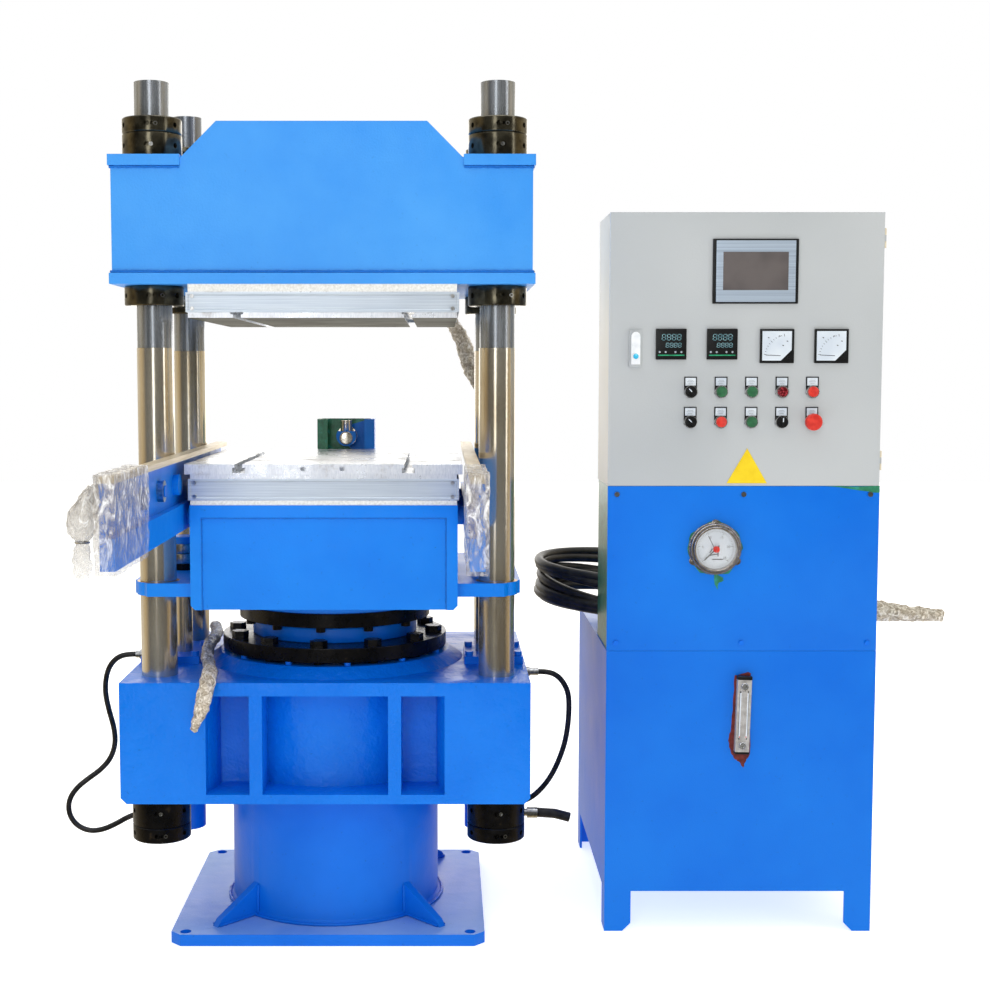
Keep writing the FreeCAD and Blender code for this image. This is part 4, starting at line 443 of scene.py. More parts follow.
# guard sheet: brushed stainless steel, near white under the lamps with level brush lines
guard_steel, tree, place = finish("brushed_stainless_sheet", Metallic=0.55)
brush = noise(tree, place, (5, 5, 700), 4.0)
add(tree, "ValToRGB", {"Fac": brush}, [(0.3, "#B9C6D6"), (0.7, "#DCE6F0")], "Base Color")
add(tree, "MapRange", {"Value": brush, "To Min": 0.3, "To Max": 0.46}, to="Roughness")
lengthwise = add(tree, "Bump", {"Height": brush, "Strength": 0.06, "Distance": 0.001})
add(tree, "Bump", {"Height": noise(tree, place, 85, 1.0), "Strength": 0.3, "Distance": 0.004,
                   "Normal": lengthwise.outputs["Normal"]}, to="Normal")


def block(name, low, high):
    """A box between two corners in millimetres."""
    bpy.ops.mesh.primitive_cube_add(size=1, location=[(a + b) / 2000 for a, b in zip(low, high)])
    piece = bpy.context.object
    piece.name = name
    piece.scale = [(b - a) / 1000 for a, b in zip(low, high)]
    bpy.ops.object.transform_apply(location=True, rotation=True, scale=True)
    return piece


def rounded(piece, edge_mm, segments):
    """Ease the sharp edges of a piece."""
    apply_modifier(piece, "BEVEL", width=edge_mm / 1000, segments=segments, limit_method="ANGLE")


def folded_guard(name, node, low, high, body):
    """Sheet guard of four walls, each folded out into a narrow rim round a flat panel."""
    half_x, half_y, sheet = 310, 356, 2
    walls = []
    for side in (-1, 1):
        wall = block("wall", (-half_x, side * half_y - (side > 0) * sheet, low),
                     (half_x, side * half_y + (side < 0) * sheet, high))
        inset(wall, (0, side, 0), (5.5, 0), (1.2, -1.2))
        walls.append(wall)
        wall = block("wall", (side * half_x - (side > 0) * sheet, -half_y + sheet, low),
                     (side * half_x + (side < 0) * sheet, half_y - sheet, high))
        inset(wall, (side, 0, 0), (5.5, 0), (1.2, -1.2))
        walls.append(wall)
    piece = joined(name, walls)
    rounded(piece, 0.4, 1)
    settle(piece, guard_steel, body, 20)
    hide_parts(node)


folded_guard("upper_guard_folded", "upper_heater_guard", 1487, 1532, "frame")

# ---------------------------------------------------------------- lift cylinders and rods
# Two slim cylinders beside the main one lift the table fast. Their barrels are painted with the beam,
# the flanges bolt down beside the columns, and bright rods rise to the table's ears.
eased("side_cylinders", frame_blue, "frame", 1.5)
dress("side_rods", chrome)
dress("frame_bolts", black_oxide)
partly("frame_bolts", bright_zinc, lambda c, n: c.z > 0.95)
partly("frame_bolts", frame_blue, lambda c, n: c.z < 0.95 and abs(c.x) > 0.3)

# ---------------------------------------------------------------- ram
# A chromed ram rises from the gland through a painted wiper housing and bolts to the table through a
# black ring.
def drilled(piece, drill):
    """Cut one piece out of another."""
    apply_modifier(piece, "BOOLEAN", object=drill, operation="DIFFERENCE")
    bpy.data.objects.remove(drill)


dress("ram", chrome)
wiper = disc("wiper_housing", (0, 0, 720), 206, 36, "Z", 96)
rounded(wiper, 3, 3)
drilled(wiper, disc("bore", (0, 0, 720), 200.6, 60, "Z", 96))
settle(wiper, frame_blue, "frame")
eased("ram_flange_ring", black_oxide, "platform", 1.5)

# ---------------------------------------------------------------- moving table
# A welded box as deep as the beams. Its front is let in behind a frame of weld, and two thick
# flame-cut ear plates reach round the columns. Its enamel is a shade lighter than the casting's below.
table_blue = enamel("table_enamel", "#0883E8", "#0074DD", grain=0.16, wave=0.3)
eased("platform_table", table_blue, "platform", 1.5)
weld("table_welds", [
    [(-282, s * 351.5, 806), (-282, s * 351.5, 1019), (282, s * 351.5, 1019), (282, s * 351.5, 806)]
    for s in (-1, 1)] + [[(e * 309, -300, 833), (e * 309, 300, 833)] for e in (-1, 1)],
    6, seam_painted_shade_blue, "platform")
# guide bronze: a warm yellow brown metal with a soft gloss
guide_bronze = surface("tin_bronze", 15, ["#8E6A35", "#B58C4C"], detail=4.0, Metallic=1.0, Roughness=0.35)
dress("guide_bushes", guide_bronze)
BUSH_WALL = 0.0445        # the bushes' outsides are painted over with the table
partly("guide_bushes", table_blue,
      lambda c, n: abs(n.z) < 0.5 and math.hypot(abs(c.x) - 0.4, abs(c.y) - 0.2475) > BUSH_WALL)

# ---------------------------------------------------------------- lower heating plate and clamp plate
# The same ground plate on white board, under a wider clamp plate whose T-slots take the mould bolts and
# whose front edge has two tapped holes.
dress("lower_heating_plate", plate_steel)
clamp_plate = eased("lower_clamp_plate", plate_steel, "platform", 0.8)
for x in (-47.5, 42):
    drilled(clamp_plate, disc("drill", (x, -356, 1131.5), 5, 24, "Y", 24))
folded_guard("lower_guard_folded", "lower_heater_guard", 1059.5, 1108.5, "platform")
dress("platform_bolts", black_oxide)
partly("platform_bolts", bright_zinc, lambda c, n: c.z > 1.0 and abs(c.x) < 0.3)
partly("platform_bolts", frame_blue, lambda c, n: c.z > 1.0 and abs(c.x) > 0.32)

# shaft collars on the lift rods above the ears: two bright rings and a painted one
for side in (-1, 1):
    rings = joined("rod_collars", [disc("collar", (side * 375, -40, z), 33, 24, "Z", 40)
                                   for z in (890, 915)])
    rounded(rings, 1.5, 2)
    settle(rings, bright_zinc, "platform")
    cap = disc("rod_cap", (side * 375, -40, 936), 34, 17, "Z", 40)
    rounded(cap, 1.5, 2)
    settle(cap, table_blue, "platform")

# ---------------------------------------------------------------- feed rails and rollers
# Two deep rails bolted along the table carry the mould out to the operator. A worn steel strip lies on
# each blue web, with ball-race rollers on their inner faces.
worn_strip = surface("worn_mild_steel_strip", (60, 8, 200), [(0.3, "#CDB893"), (0.7, "#EBDCC0")], detail=6.0,
                     Metallic=0.4, Roughness=0.38)
rails = eased("feed_rails", table_blue, "platform", 1.0)
WEB_TOP = 1.1501          # the strips lie above this height, in metres
partly(rails, worn_strip, lambda c, n: c.z > WEB_TOP)
AXLES, AXLE_Z = (-0.76, -0.57), 1.097     # the painted axle ends, in metres
for corner in ("left_front", "left_rear", "right_front", "right_rear"):
    dress("roller_" + corner, bright_zinc)
    partly("roller_" + corner, table_blue,
           lambda c, n: min(math.hypot(c.y - y, c.z - AXLE_Z) for y in AXLES) < 0.0105)

# ---------------------------------------------------------------- packing film
# Clear polyethylene film is pulled over the rail ends for shipping, and on the left a limit switch and
# its cable hang in a tied pouch. It is crumpled all over and milky; its colour darkens in the creases as
# painted shade and turns white as painted glints.
film, tree, place = finish("crumpled_polyethylene_film", Roughness=0.14)
sagging = add(tree, "Mapping", {"Vector": place, "Rotation": (0.3, 0.35, 0), "Scale": (1.0, 1.0, 0.42)})
crush = noise(tree, sagging.outputs["Vector"], 22, 8.0, 0.68, 1.6)
# painted shade and painted glints: the colour runs from dark grey-brown at the crumple noise's low places,
# through milky grey, to white
add(tree, "ValToRGB", {"Fac": crush}, [(0.32, "#8C8478"), (0.5, "#CFC8BE"), (0.62, "#FFFFFF")], "Base Color")
haze = add(tree, "ValToRGB", {"Fac": crush}, [(0.4, 0.35), (0.52, 0.62), (0.62, 0.95)])
down = add(tree, "SeparateXYZ", {"Vector": place})
clearer = add(tree, "MapRange", {"Value": down.outputs["Z"], "From Min": 0.985, "From Max": 1.09,
                                 "To Min": 0.45, "To Max": 1.0})
add(tree, "Math", {0: haze.outputs["Color"], 1: clearer.outputs["Result"]}, to="Alpha", operation="MULTIPLY")
ridges = add(tree, "TexVoronoi", {"Vector": place, "Scale": 1000 / 17}, feature="DISTANCE_TO_EDGE")
creased = add(tree, "Bump", {"Height": ridges.outputs["Distance"], "Strength": 0.5, "Distance": 0.006})
add(tree, "Bump", {"Height": crush, "Strength": 0.9, "Distance": 0.008, "Normal": creased.outputs["Normal"]},
    to="Normal")
crumple = bpy.data.textures.new("crumple", "CLOUDS")
crumple.noise_scale, crumple.noise_depth = 0.030, 4


def cells(piece, size):
    """Cut a piece into cells of about one size, with a plane every so many millimetres."""
    low, high = ([limit(point.co[k] for point in piece.data.vertices) for k in range(3)]
                 for limit in (min, max))
    only(piece)
    bpy.ops.object.mode_set(mode="EDIT")
    for k in range(3):
        count = max(1, round((high[k] - low[k]) * 1000 / size))
        for step in range(1, count):
            spot, way = [0, 0, 0], [0, 0, 0]
            spot[k], way[k] = low[k] + (high[k] - low[k]) * step / count, 1
            bpy.ops.mesh.select_all(action="SELECT")
            bpy.ops.mesh.bisect(plane_co=spot, plane_no=way)
    bpy.ops.mesh.select_all(action="DESELECT")
    bpy.ops.object.mode_set(mode="OBJECT")


RAIL_FILM = ((316.7, -1105, 984.7), (355.3, -792, 1167.3))
for side, label in ((-1, "left"), (1, "right")):
    (x0, y0, z0), (x1, y1, z1) = RAIL_FILM
    x0, x1 = sorted((side * x0, side * x1))
    bag = block("rail_film_" + label, (x0, y0, z0), (x1, y1, z1))
    pick(bag, lambda face: face.normal.y > 0.9)
    bpy.ops.mesh.delete(type="FACE")
    bpy.ops.object.mode_set(mode="OBJECT")
    cells(bag, 9.0)
    apply_modifier(bag, "SUBSURF", levels=1, subdivision_type="SIMPLE")
    apply_modifier(bag, "DISPLACE", texture=crumple, texture_coords="LOCAL", strength=0.009, mid_level=0.42)
    settle(bag, film, "platform", 75)
    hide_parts("rail_films")

# the tied pouch on the left: a bag gathered to a neck, its loose end below; each row is the height, the
# middle, and half the width and depth there
POUCH_Y = -1.06
POUCH = ((1146, -362, 6, 45), (1128, -372, 15, 44), (1100, -383, 25, 43), (1084, -386, 28, 42),
         (1064, -387, 26, 36), (1052, -387, 19, 24), (1044, -387, 12, 12), (1040, -387, 10, 10),
         (1034, -387, 13, 12), (1020, -387, 17, 15), (1000, -387, 18, 15), (984, -387, 17, 12),
         (973, -387, 12, 7))
bpy.ops.mesh.primitive_circle_add(vertices=40, radius=0.001, fill_type="NOTHING",
                                  location=(POUCH[0][1] / 1000, POUCH_Y, POUCH[0][0] / 1000))
pouch = bpy.context.object
pouch.name = "film_pouch"
bpy.ops.object.transform_apply(location=True, rotation=True, scale=True)
only(pouch)
bpy.ops.object.mode_set(mode="EDIT")
bpy.ops.mesh.select_mode(type="VERT")
bpy.ops.mesh.select_all(action="SELECT")
half_x, half_y = 1.0, 1.0
z_now, x_now = POUCH[0][0], POUCH[0][1]
for k, (z, x, wide, deep) in enumerate(POUCH):
    if k:
        bpy.ops.mesh.extrude_edges_move(
            TRANSFORM_OT_translate={"value": ((x - x_now) / 1000, 0, (z - z_now) / 1000)})
    bpy.ops.transform.resize(value=(wide / half_x, deep / half_y, 1),
                             center_override=(x / 1000, POUCH_Y, z / 1000))
    half_x, half_y, z_now, x_now = wide, deep, z, x
bpy.ops.mesh.select_all(action="SELECT")
bpy.ops.mesh.normals_make_consistent(inside=False)
bpy.ops.object.mode_set(mode="OBJECT")
apply_modifier(pouch, "SUBSURF", levels=2)
small = bpy.data.textures.new("small_crumple", "CLOUDS")
small.noise_scale, small.noise_depth = 0.016, 4
apply_modifier(pouch, "DISPLACE", texture=small, texture_coords="LOCAL", strength=0.014, mid_level=0.5)
settle(pouch, film, "platform", 75)

# the wire tie round the pouch's neck
bpy.ops.mesh.primitive_torus_add(location=(-0.387, POUCH_Y, 1.041), major_radius=0.0125, minor_radius=0.0018,
                                 major_segments=32, minor_segments=8)
tie = bpy.context.object
tie.name = "pouch_tie"
settle(tie, bright_zinc, "platform")

# ---------------------------------------------------------------- mould puller
# A small cylinder at the back pulls the mould in. Its nose and pin stand between two channel plates
# that still wear the shop's old green paint, with blue oversprayed on the right.
puller_green, tree, place = finish("old_green_paint", Roughness=0.35)
add(tree, "ValToRGB", {"Fac": noise(tree, place, 18, 6.0, 0.7)},
    [(0.3, "#1B5A42"), (0.55, "#2C8460"), (0.7, "#2F9A94")], "Base Color")
add(tree, "Bump", {"Height": noise(tree, place, 30), "Strength": 0.3, "Distance": 0.003}, to="Normal")


def on_nose(c):
    """Whether a point in metres lies on the puller's round nose."""
    return math.hypot(c.x - 0.007, c.z - 1.1764) < 0.0272


dress("mould_puller", puller_green)
partly("mould_puller", table_blue, lambda c, n: c.x > 0.03)
partly("mould_puller", chrome, lambda c, n: on_nose(c) and c.y < 0.5
       or math.hypot(c.x - 0.007, c.y - 0.382) < 0.0165 and c.z > 1.15)
partly("mould_puller", table_blue, lambda c, n: on_nose(c) and n.y < -0.9 and c.y < 0.4)
boss = disc("puller_nose_boss", (7, 363.5, 1171.5), 18, 9, "Y", 48)
rounded(boss, 4, 4)
settle(boss, chrome, "platform")

# ---------------------------------------------------------------- oil tank
# A welded sheet tank on folded feet, sprayed in a cooler blue than the press, with a bolted lid.
cabinet_blue = enamel("cabinet_blue_enamel", "#0475DE", "#0069D6", grain_mm=3.0, grain=0.14, wave_mm=160.0,
                      wave=0.2, grime="#174F96")
dress("oil_tank", cabinet_blue)

# ---------------------------------------------------------------- middle of the cabinet
# An open-backed sheet frame joins tank and box behind a screwed-on blue front. Its sides keep an old
# green coat, and the pump set stands inside it on the tank's lid.
dress("middle_frame", puller_green)
eased("front_panel", cabinet_blue, "frame", 0.8)
# painted cast iron: a dull slate blue with a sandy grain
cast_paint = surface("painted_cast_iron", 6, [(0.3, "#22486E"), (0.7, "#3A6A98")], detail=4.0,
                     bump=(0.3, 0.001), Roughness=0.45)
dress("pump_unit", cast_paint)
partly("pump_unit", black_oxide, lambda c, n: 0.687 < c.z and c.x < 1.086)

# ---------------------------------------------------------------- electrical box and door
# Powder-coated sheet, light grey with a fine leather texture, on two lift-off hinges.
box_grey, tree, place = finish("powder_coat_light_grey", Roughness=0.38)
add(tree, "ValToRGB", {"Fac": noise(tree, place, 1000 / 1.7)}, [(0.35, "#AFB4B7"), (0.65, "#BDC1C3")],
    "Base Color")
add(tree, "Bump", {"Height": noise(tree, place, 3.5, 1.0), "Strength": 0.22, "Distance": 0.001}, to="Normal")
# the box's sides are a warmer cream
box_cream = surface("powder_coat_cream", 500, ["#DDD2B8", "#E8DFC9"], Roughness=0.42)
dress("electrical_box", box_cream)
eased("cabinet_door", box_grey, "door", 1.0)
# moulded nylon: a warm off-white, half matt
moulding = surface("moulded_nylon", 40, ["#C9C7BE", "#DAD8CF"], Roughness=0.4)
dress("switchgear", moulding)

# the blank three-cornered plate at the door's foot, enamelled yellow all over
sign_yellow = surface("enamelled_yellow_plate", 30, ["#EAC70C", "#F3D41C"], detail=3.0, Roughness=0.3)
# black plastic: near black with a fine moulded grain that catches a grey sheen
black_plastic = surface("moulded_black_plastic", 2.5, [(0.35, "#0E0F10"), (0.7, "#1D1E20")],
                        bump=(0.12, 0.001), Roughness=0.32)
FACE = -225.0             # the door's outside
SIGN = (993, 1089, 97)    # the middle of its foot, its height on the door and its width


def plate(name, corners, back, thick):
    """A flat plate with the given (x, z) corners, standing on the face at back, in millimetres."""
    bpy.ops.mesh.primitive_circle_add(vertices=len(corners), radius=1, fill_type="NGON",
                                      rotation=(math.pi / 2, 0, 0))
    piece = bpy.context.object
    piece.name = name
    bpy.ops.object.transform_apply(location=True, rotation=True, scale=True)
    for point, (x, z) in zip(piece.data.vertices, corners):
        point.co = (x / 1000, back / 1000, z / 1000)
    reshape(piece, bpy.ops.mesh.extrude_region_move,
            TRANSFORM_OT_translate={"value": (0, -thick / 1000, 0)})
    return reshape(piece, bpy.ops.mesh.normals_make_consistent, inside=False)


def three_corners(grow, x, z, width):
    """Corners of an upright triangle that grows by so much on every side."""
    tall = width * math.sqrt(3) / 2
    return [(x - width / 2 - grow * math.sqrt(3), z - grow), (x + width / 2 + grow * math.sqrt(3), z - grow),
            (x, z + tall + 2 * grow)]


sign = plate("sign_plate", three_corners(-0.4, *SIGN), FACE - 0.9, 0.5)
rounded(sign, 0.2, 1)
settle(sign, sign_yellow, "door")

# ---------------------------------------------------------------- touch panel
# A black-framed operator panel: silver printed front, dark screen behind glass. No wording on it.
silver_front = surface("silver_screen_print", (2, 2, 900), ["#A3B3C6", "#C4D3E2"], Roughness=0.35,
                       Metallic=0.35)
dark_glass = surface("unlit_screen_glass", 1000 / 14.0, ["#5A5555", "#676160"], Roughness=0.12)
x, z, wide, tall = 1005.5, 1587.5, 201, 151
eased("touch_panel", black_plastic, "door", 1.5, 3)
front = block("touch_panel_front", (x - wide / 2 + 8, FACE - 6.8, z - tall / 2 + 4),
              (x + wide / 2 - 7, FACE - 5.6, z + tall / 2 - 4))
inset(front, (0, -1, 0), (4.0, 0), (0.5, 0.3))
rounded(front, 0.4, 2)
settle(front, silver_front, "door")
screen = block("touch_panel_screen", (x - 76.5, FACE - 7.5, z - 44), (x + 76.5, FACE - 6.6, z + 45))
rounded(screen, 0.4, 2)
settle(screen, dark_glass, "door")

# ---------------------------------------------------------------- temperature controllers and ammeters
# Two square controllers with seven-bar digits, four keys and a green stripe, and two square moving-iron
# ammeters: white dial, black frame and a black corner over the movement.
digit_cyan, tree, place = finish("lit_digit_segments", Roughness=0.4, Emission_Strength=0.35)
add(tree, "ValToRGB", {"Fac": noise(tree, place, 9)}, [(0.35, "#6FA9B5"), (0.65, "#A6D6DE")],
    ("Base Color", "Emission Color"))
stripe_green = surface("printed_green_stripe", 12, ["#128A5A", "#27B27C"], Roughness=0.4)
dial_white = surface("printed_white_dial", 60, ["#CBD5E0", "#DDE5EC"], Roughness=0.3)
ink_black = surface("printed_black_ink", 8, ["#17191C", "#2B2F34"], Roughness=0.5)
CONTROLLERS, CONTROLLER_Z = (809.5, 929.5), 1417.5
AMMETERS, AMMETER_Z = (1058.5, 1186.5), 1413
METER_FACE, INK_FACE = FACE - 6.9, FACE - 7.2


def bar(name, start, end, thick, face, proud=0.4):
    """A thin printed bar between two (x, z) points on a face, in millimetres."""
    (x0, z0), (x1, z1) = start, end
    long = math.hypot(x1 - x0, z1 - z0)
    away_x, away_z = (z1 - z0) / long * thick / 2, -(x1 - x0) / long * thick / 2
    return plate(name, [(x0 + away_x, z0 + away_z), (x1 + away_x, z1 + away_z),
                        (x1 - away_x, z1 - away_z), (x0 - away_x, z0 - away_z)], face, proud)


def digit(x, z, wide, tall):
    """One figure eight of a seven-bar display with every bar lit, its left foot at x, z."""
    lean = wide * 0.12
    rows = (z, z + tall / 2, z + tall)
    bars = []
    for k, level in enumerate(rows):
        left = x + lean * k / 2
        bars.append(bar("segment", (left + wide * 0.16, level), (left + wide * 0.84, level), wide * 0.09,
                        METER_FACE))
    for k, (low, high) in enumerate(zip(rows, rows[1:])):
        for edge in (0, wide):
            left = x + edge + lean * k / 2
            bars.append(bar("segment", (left, low + tall * 0.07), (left + lean / 2, high - tall * 0.07),
                            wide * 0.10, METER_FACE))
    return bars


eased("panel_meters", black_plastic, "door", 1.5, 3)
for x in CONTROLLERS:
    segments = []
    for k in range(4):
        segments += digit(x - 22 + k * 12, CONTROLLER_Z + 9.5, 8.2, 13.5)
        segments += digit(x - 12.5 + k * 9.6, CONTROLLER_Z - 7.5, 6.6, 10.0)
    settle(joined("controller_digits", segments), digit_cyan, "door")
    stripe = bar("controller_stripe", (x - 31, CONTROLLER_Z - 26), (x + 31, CONTROLLER_Z - 26), 2.6,
                 METER_FACE)
    settle(stripe, stripe_green, "door")
    keys = joined("controller_keys", [disc("key", (x + across, FACE - 7.4, CONTROLLER_Z - 18.5), 2.4, 1.2,
                                           "Y", 20)
                                      for across in (-27, -13, 10, 24)])
    rounded(keys, 0.5, 2)
    settle(keys, guard_steel, "door")

for x in AMMETERS:
    card = plate("ammeter_card", [(x - 35, AMMETER_Z - 34), (x + 9, AMMETER_Z - 34), (x + 34, AMMETER_Z - 9),
                                  (x + 34, AMMETER_Z + 35), (x - 35, AMMETER_Z + 35)], METER_FACE, 0.4)
    settle(card, dial_white, "door")
    marks = []
    for k in range(11):
        turn = math.radians(8 + 7.4 * k)
        inner, outer = (50, 56) if k % 5 == 0 else (51.5, 54.5)
        foot = (x + 24, AMMETER_Z - 27)
        marks.append(bar("tick", (foot[0] - inner * math.cos(turn), foot[1] + inner * math.sin(turn)),
                         (foot[0] - outer * math.cos(turn), foot[1] + outer * math.sin(turn)), 0.9, INK_FACE))
    marks.append(bar("needle", (x + 8, AMMETER_Z - 22.5), (x - 27, AMMETER_Z - 21), 1.3, INK_FACE))
    for across, up in ((-22, 20), (4, 24), (22, 12), (12, 2)):
        marks.append(bar("figure", (x + across, AMMETER_Z + up), (x + across + 3.5, AMMETER_Z + up - 1), 1.8,
                         INK_FACE))
    settle(joined("ammeter_marks", marks), ink_black, "door")
    cover = disc("ammeter_screw", (x + 27, FACE - 7.4, AMMETER_Z - 27), 3.2, 1.2, "Y", 20)
    rounded(cover, 0.4, 2)
    settle(cover, black_plastic, "door")

# ---------------------------------------------------------------- control buttons
# Twenty-two millimetre push buttons in chromed collars, each under a black legend holder with a white
# card ruled with lines. Caps are moulded in green and red; the mushroom is the emergency stop.
cap_red = surface("moulded_red_cap", 12, ["#C6261C", "#DC3A2C"], Roughness=0.35)
cap_green = surface("moulded_green_cap", 12, ["#235C3A", "#2F7248"], Roughness=0.38)
lamp_red, tree, place = finish("faceted_red_lens", Roughness=0.12)
facets = add(tree, "TexVoronoi", {"Vector": place, "Scale": 1000 / 5}).outputs["Distance"]
add(tree, "ValToRGB", {"Fac": facets}, [(0.1, "#B23A44"), (0.6, "#570A12")], "Base Color")
add(tree, "Bump", {"Height": facets, "Strength": 0.6, "Distance": 0.002}, to="Normal")
collar_chrome = surface("polished_collar_chrome", 10, ["#B9BBBD", "#E3E4E5"], Metallic=0.8, Roughness=0.14)
KEY_X, KEY_Z, PITCH_X, PITCH_Z = 857, 1306, 71.8, 71.0
COLLAR_FRONT = FACE - 10.6


def key_at(column, row):
    """The (x, z) middle of one place in the block of buttons."""
    return KEY_X + PITCH_X * column, KEY_Z - PITCH_Z * row


def spoke(centre, radius, degrees):
    """The (x, z) point at a radius and an angle round a centre."""
    turn = math.radians(degrees)
    return centre[0] + radius * math.cos(turn), centre[1] + radius * math.sin(turn)


collars = eased("button_collars", black_plastic, "door", 0.5)
partly(collars, collar_chrome, lambda c, n: c.y < (FACE - 1.65) / 1000)
for side in (-1, 1):
    for point in collars.data.vertices:
        across = ((point.co.x * 1000 - KEY_X + PITCH_X / 2) % PITCH_X - PITCH_X / 2) * side
        down = (point.co.z * 1000 - KEY_Z + PITCH_Z / 2) % PITCH_Z - PITCH_Z / 2
        point.select = across > 12.5 and down < -12.5 and point.co.y < FACE / 1000 + 0.0001
    only(collars)
    bpy.ops.object.mode_set(mode="EDIT")
    bpy.ops.mesh.select_mode(type="VERT")
    bpy.ops.transform.translate(value=(-side * 0.0048, 0, 0.0048))
    bpy.ops.object.mode_set(mode="OBJECT")
for row in range(2):
    for column in range(5):
        x, z = key_at(column, row)
        card = block("legend_card", (x - 12.3, FACE - 2.1, z + 14.5), (x + 12.3, FACE - 1.4, z + 32.5))
        settle(card, dial_white, "door")
        lines = [bar("line", (x - long, z + up), (x + long, z + up), 0.5, FACE - 2.1, 0.15)
                 for long, up in ((6, 27), (8, 23.5), (5, 20))]
        settle(joined("legend_lines", lines), ink_black, "door")
GREEN, RED = (cap_green, "green_plastic"), (cap_red, "red_plastic")
for node, column, row, (material, slot) in (
        ("start_button_upper", 1, 0, GREEN), ("start_button_middle", 2, 0, GREEN),
        ("stop_button_upper", 4, 0, RED), ("stop_button_lower", 1, 1, RED),
        ("start_button_lower", 2, 1, GREEN)):
    x, z = key_at(column, row)
    cap = disc(node + "_cap", (x, COLLAR_FRONT - 4.3, z), 12.4, 1.8, "Y", 48)
    inset(cap, (0, -1, 0), (1.8, 0), (0.8, -0.4))
    rounded(cap, 0.4, 2)
    settle(cap, material, node)
    dress(node, material)
lens = disc("lamp_lens", (KEY_X + PITCH_X * 3, COLLAR_FRONT - 2.5, KEY_Z), 12.4, 8.0, "Y", 48)
rounded(lens, 3, 4)
settle(lens, lamp_red, "door")
for node, column, row, turn in (("selector_upper", 0, 0, 45), ("selector_lower", 0, 1, 45),
                                ("selector_three_way", 3, 1, 0)):
    dress(node, black_plastic)
    x, z = key_at(column, row)
    base = disc(node + "_hub", (x, COLLAR_FRONT - 1.8, z), 12.4, 3.4, "Y", 48)
    rounded(base, 1.2, 3)
    settle(base, black_plastic, node)
    mark = bar(node + "_mark", (x, z), spoke((x, z), 9.5, 90 + turn), 2.2, COLLAR_FRONT - 14.0, 0.4)
    settle(mark, dial_white, node)
eased("emergency_stop", cap_red, "emergency_stop", 0.6)

# ---------------------------------------------------------------- door lock
# A flush swing-handle lock: white nylon base and lever, with a bright push button near its foot.
lock_white = surface("moulded_white_nylon", 20, ["#E3E8EC", "#F6F8FA"], Roughness=0.3)
lock_cyan = surface("cyan_lock_button", 6, ["#27B4E0", "#7FE0F6"], Roughness=0.25)
eased("lock_handle", lock_white, "lock_handle", 1.2, 3)
button = disc("lock_button", (725.5, -242.0, 1389), 6.4, 2.0)
rounded(button, 0.8, 3)
settle(button, lock_cyan, "lock_handle")

# ---------------------------------------------------------------- pressure gauge
# A flanged stainless gauge with an electric contact: white dial, two dark hands and a red setting knob
# on the glass. Old green paint still shows round its flange.
bezel_steel = surface("pressed_stainless_bezel", 9, ["#A39C94", "#D2CCC4"], detail=3.0, Metallic=0.9,
                      Roughness=0.26)
eased("gauge_case", bezel_steel, "frame", 0.8)
GAUGE = (920, 934)
DIAL_Y = -234.0
face = disc("gauge_dial", (GAUGE[0], DIAL_Y - 0.3, GAUGE[1]), 48.0, 0.6, "Y", 64)
settle(face, dial_white, "frame")
marks = []
for k in range(51):       # fifty divisions over 270 degrees, from the lower left over the top
    inner, thick = (37.5, 1.1) if k % 10 == 0 else (40.0, 0.6)
    marks.append(bar("tick", spoke(GAUGE, inner, 225 - 5.4 * k), spoke(GAUGE, 43.5, 225 - 5.4 * k), thick,
                     DIAL_Y - 0.5, 0.3))
for x, z, long, turn in ((-16, -16, 22, 10), (-8, -25, 26, 0), (-14, -10, 12, 60), (6, -18, 10, 90)):
    start = (GAUGE[0] + x, GAUGE[1] + z)
    marks.append(bar("works", start, spoke(start, long, turn), 2.6, DIAL_Y - 0.5, 0.6))
marks.append(bar("setting_hand", (GAUGE[0] - 2, GAUGE[1]), (GAUGE[0] - 17, GAUGE[1] + 30), 1.5, DIAL_Y - 1.2,
                 0.6))
settle(joined("gauge_marks", marks), ink_black, "frame")
figures = []
for k, figure in enumerate(("0", "5", "10", "15", "20", "25")):
    x, z = spoke(GAUGE, 31, 225 - 54 * k)
    bpy.ops.object.text_add(location=(x / 1000, (DIAL_Y - 0.8) / 1000, (z - 2.8) / 1000),
                            rotation=(math.pi / 2, 0, 0))
    label = bpy.context.object
    label.data.body = figure
    label.data.size = 0.0085
    label.data.extrude = 0.0001
    label.data.align_x = "CENTER"
    only(label)
    bpy.ops.object.convert(target="MESH")
    figures.append(bpy.context.object)
settle(joined("gauge_figures", figures), ink_black, "frame")
dress("gauge_pointer", ink_black)
eased("gauge_knob", cap_red, "gauge_knob", 0.8)

# bezel rings round the glass
for radius, front, thick in ((51.5, -247.3, 2.6), (57.0, -240.0, 3.0), (60.5, -229.0, 1.8)):
    bpy.ops.mesh.primitive_torus_add(location=(GAUGE[0] / 1000, front / 1000, GAUGE[1] / 1000),
                                     rotation=(math.pi / 2, 0, 0), major_radius=radius / 1000,
                                     minor_radius=thick / 1000, major_segments=96, minor_segments=16)
    bead = bpy.context.object
    bead.name = "gauge_bezel"
    settle(bead, bezel_steel, "frame")
ears = []
for turn in (90, 210, 330):
    for name, reach, y, radius, deep, sides in (("ear", 60, -227.6, 9.5, 3.2, 32),
                                                ("ear_screw", 61, -230.4, 4.2, 4.0, 24)):
        x, z = spoke(GAUGE, reach, turn)
        ears.append(disc(name, (x, y, z), radius, deep, "Y", sides))
ears = joined("gauge_ears", ears)
rounded(ears, 0.8, 2)
settle(ears, bezel_steel, "frame")

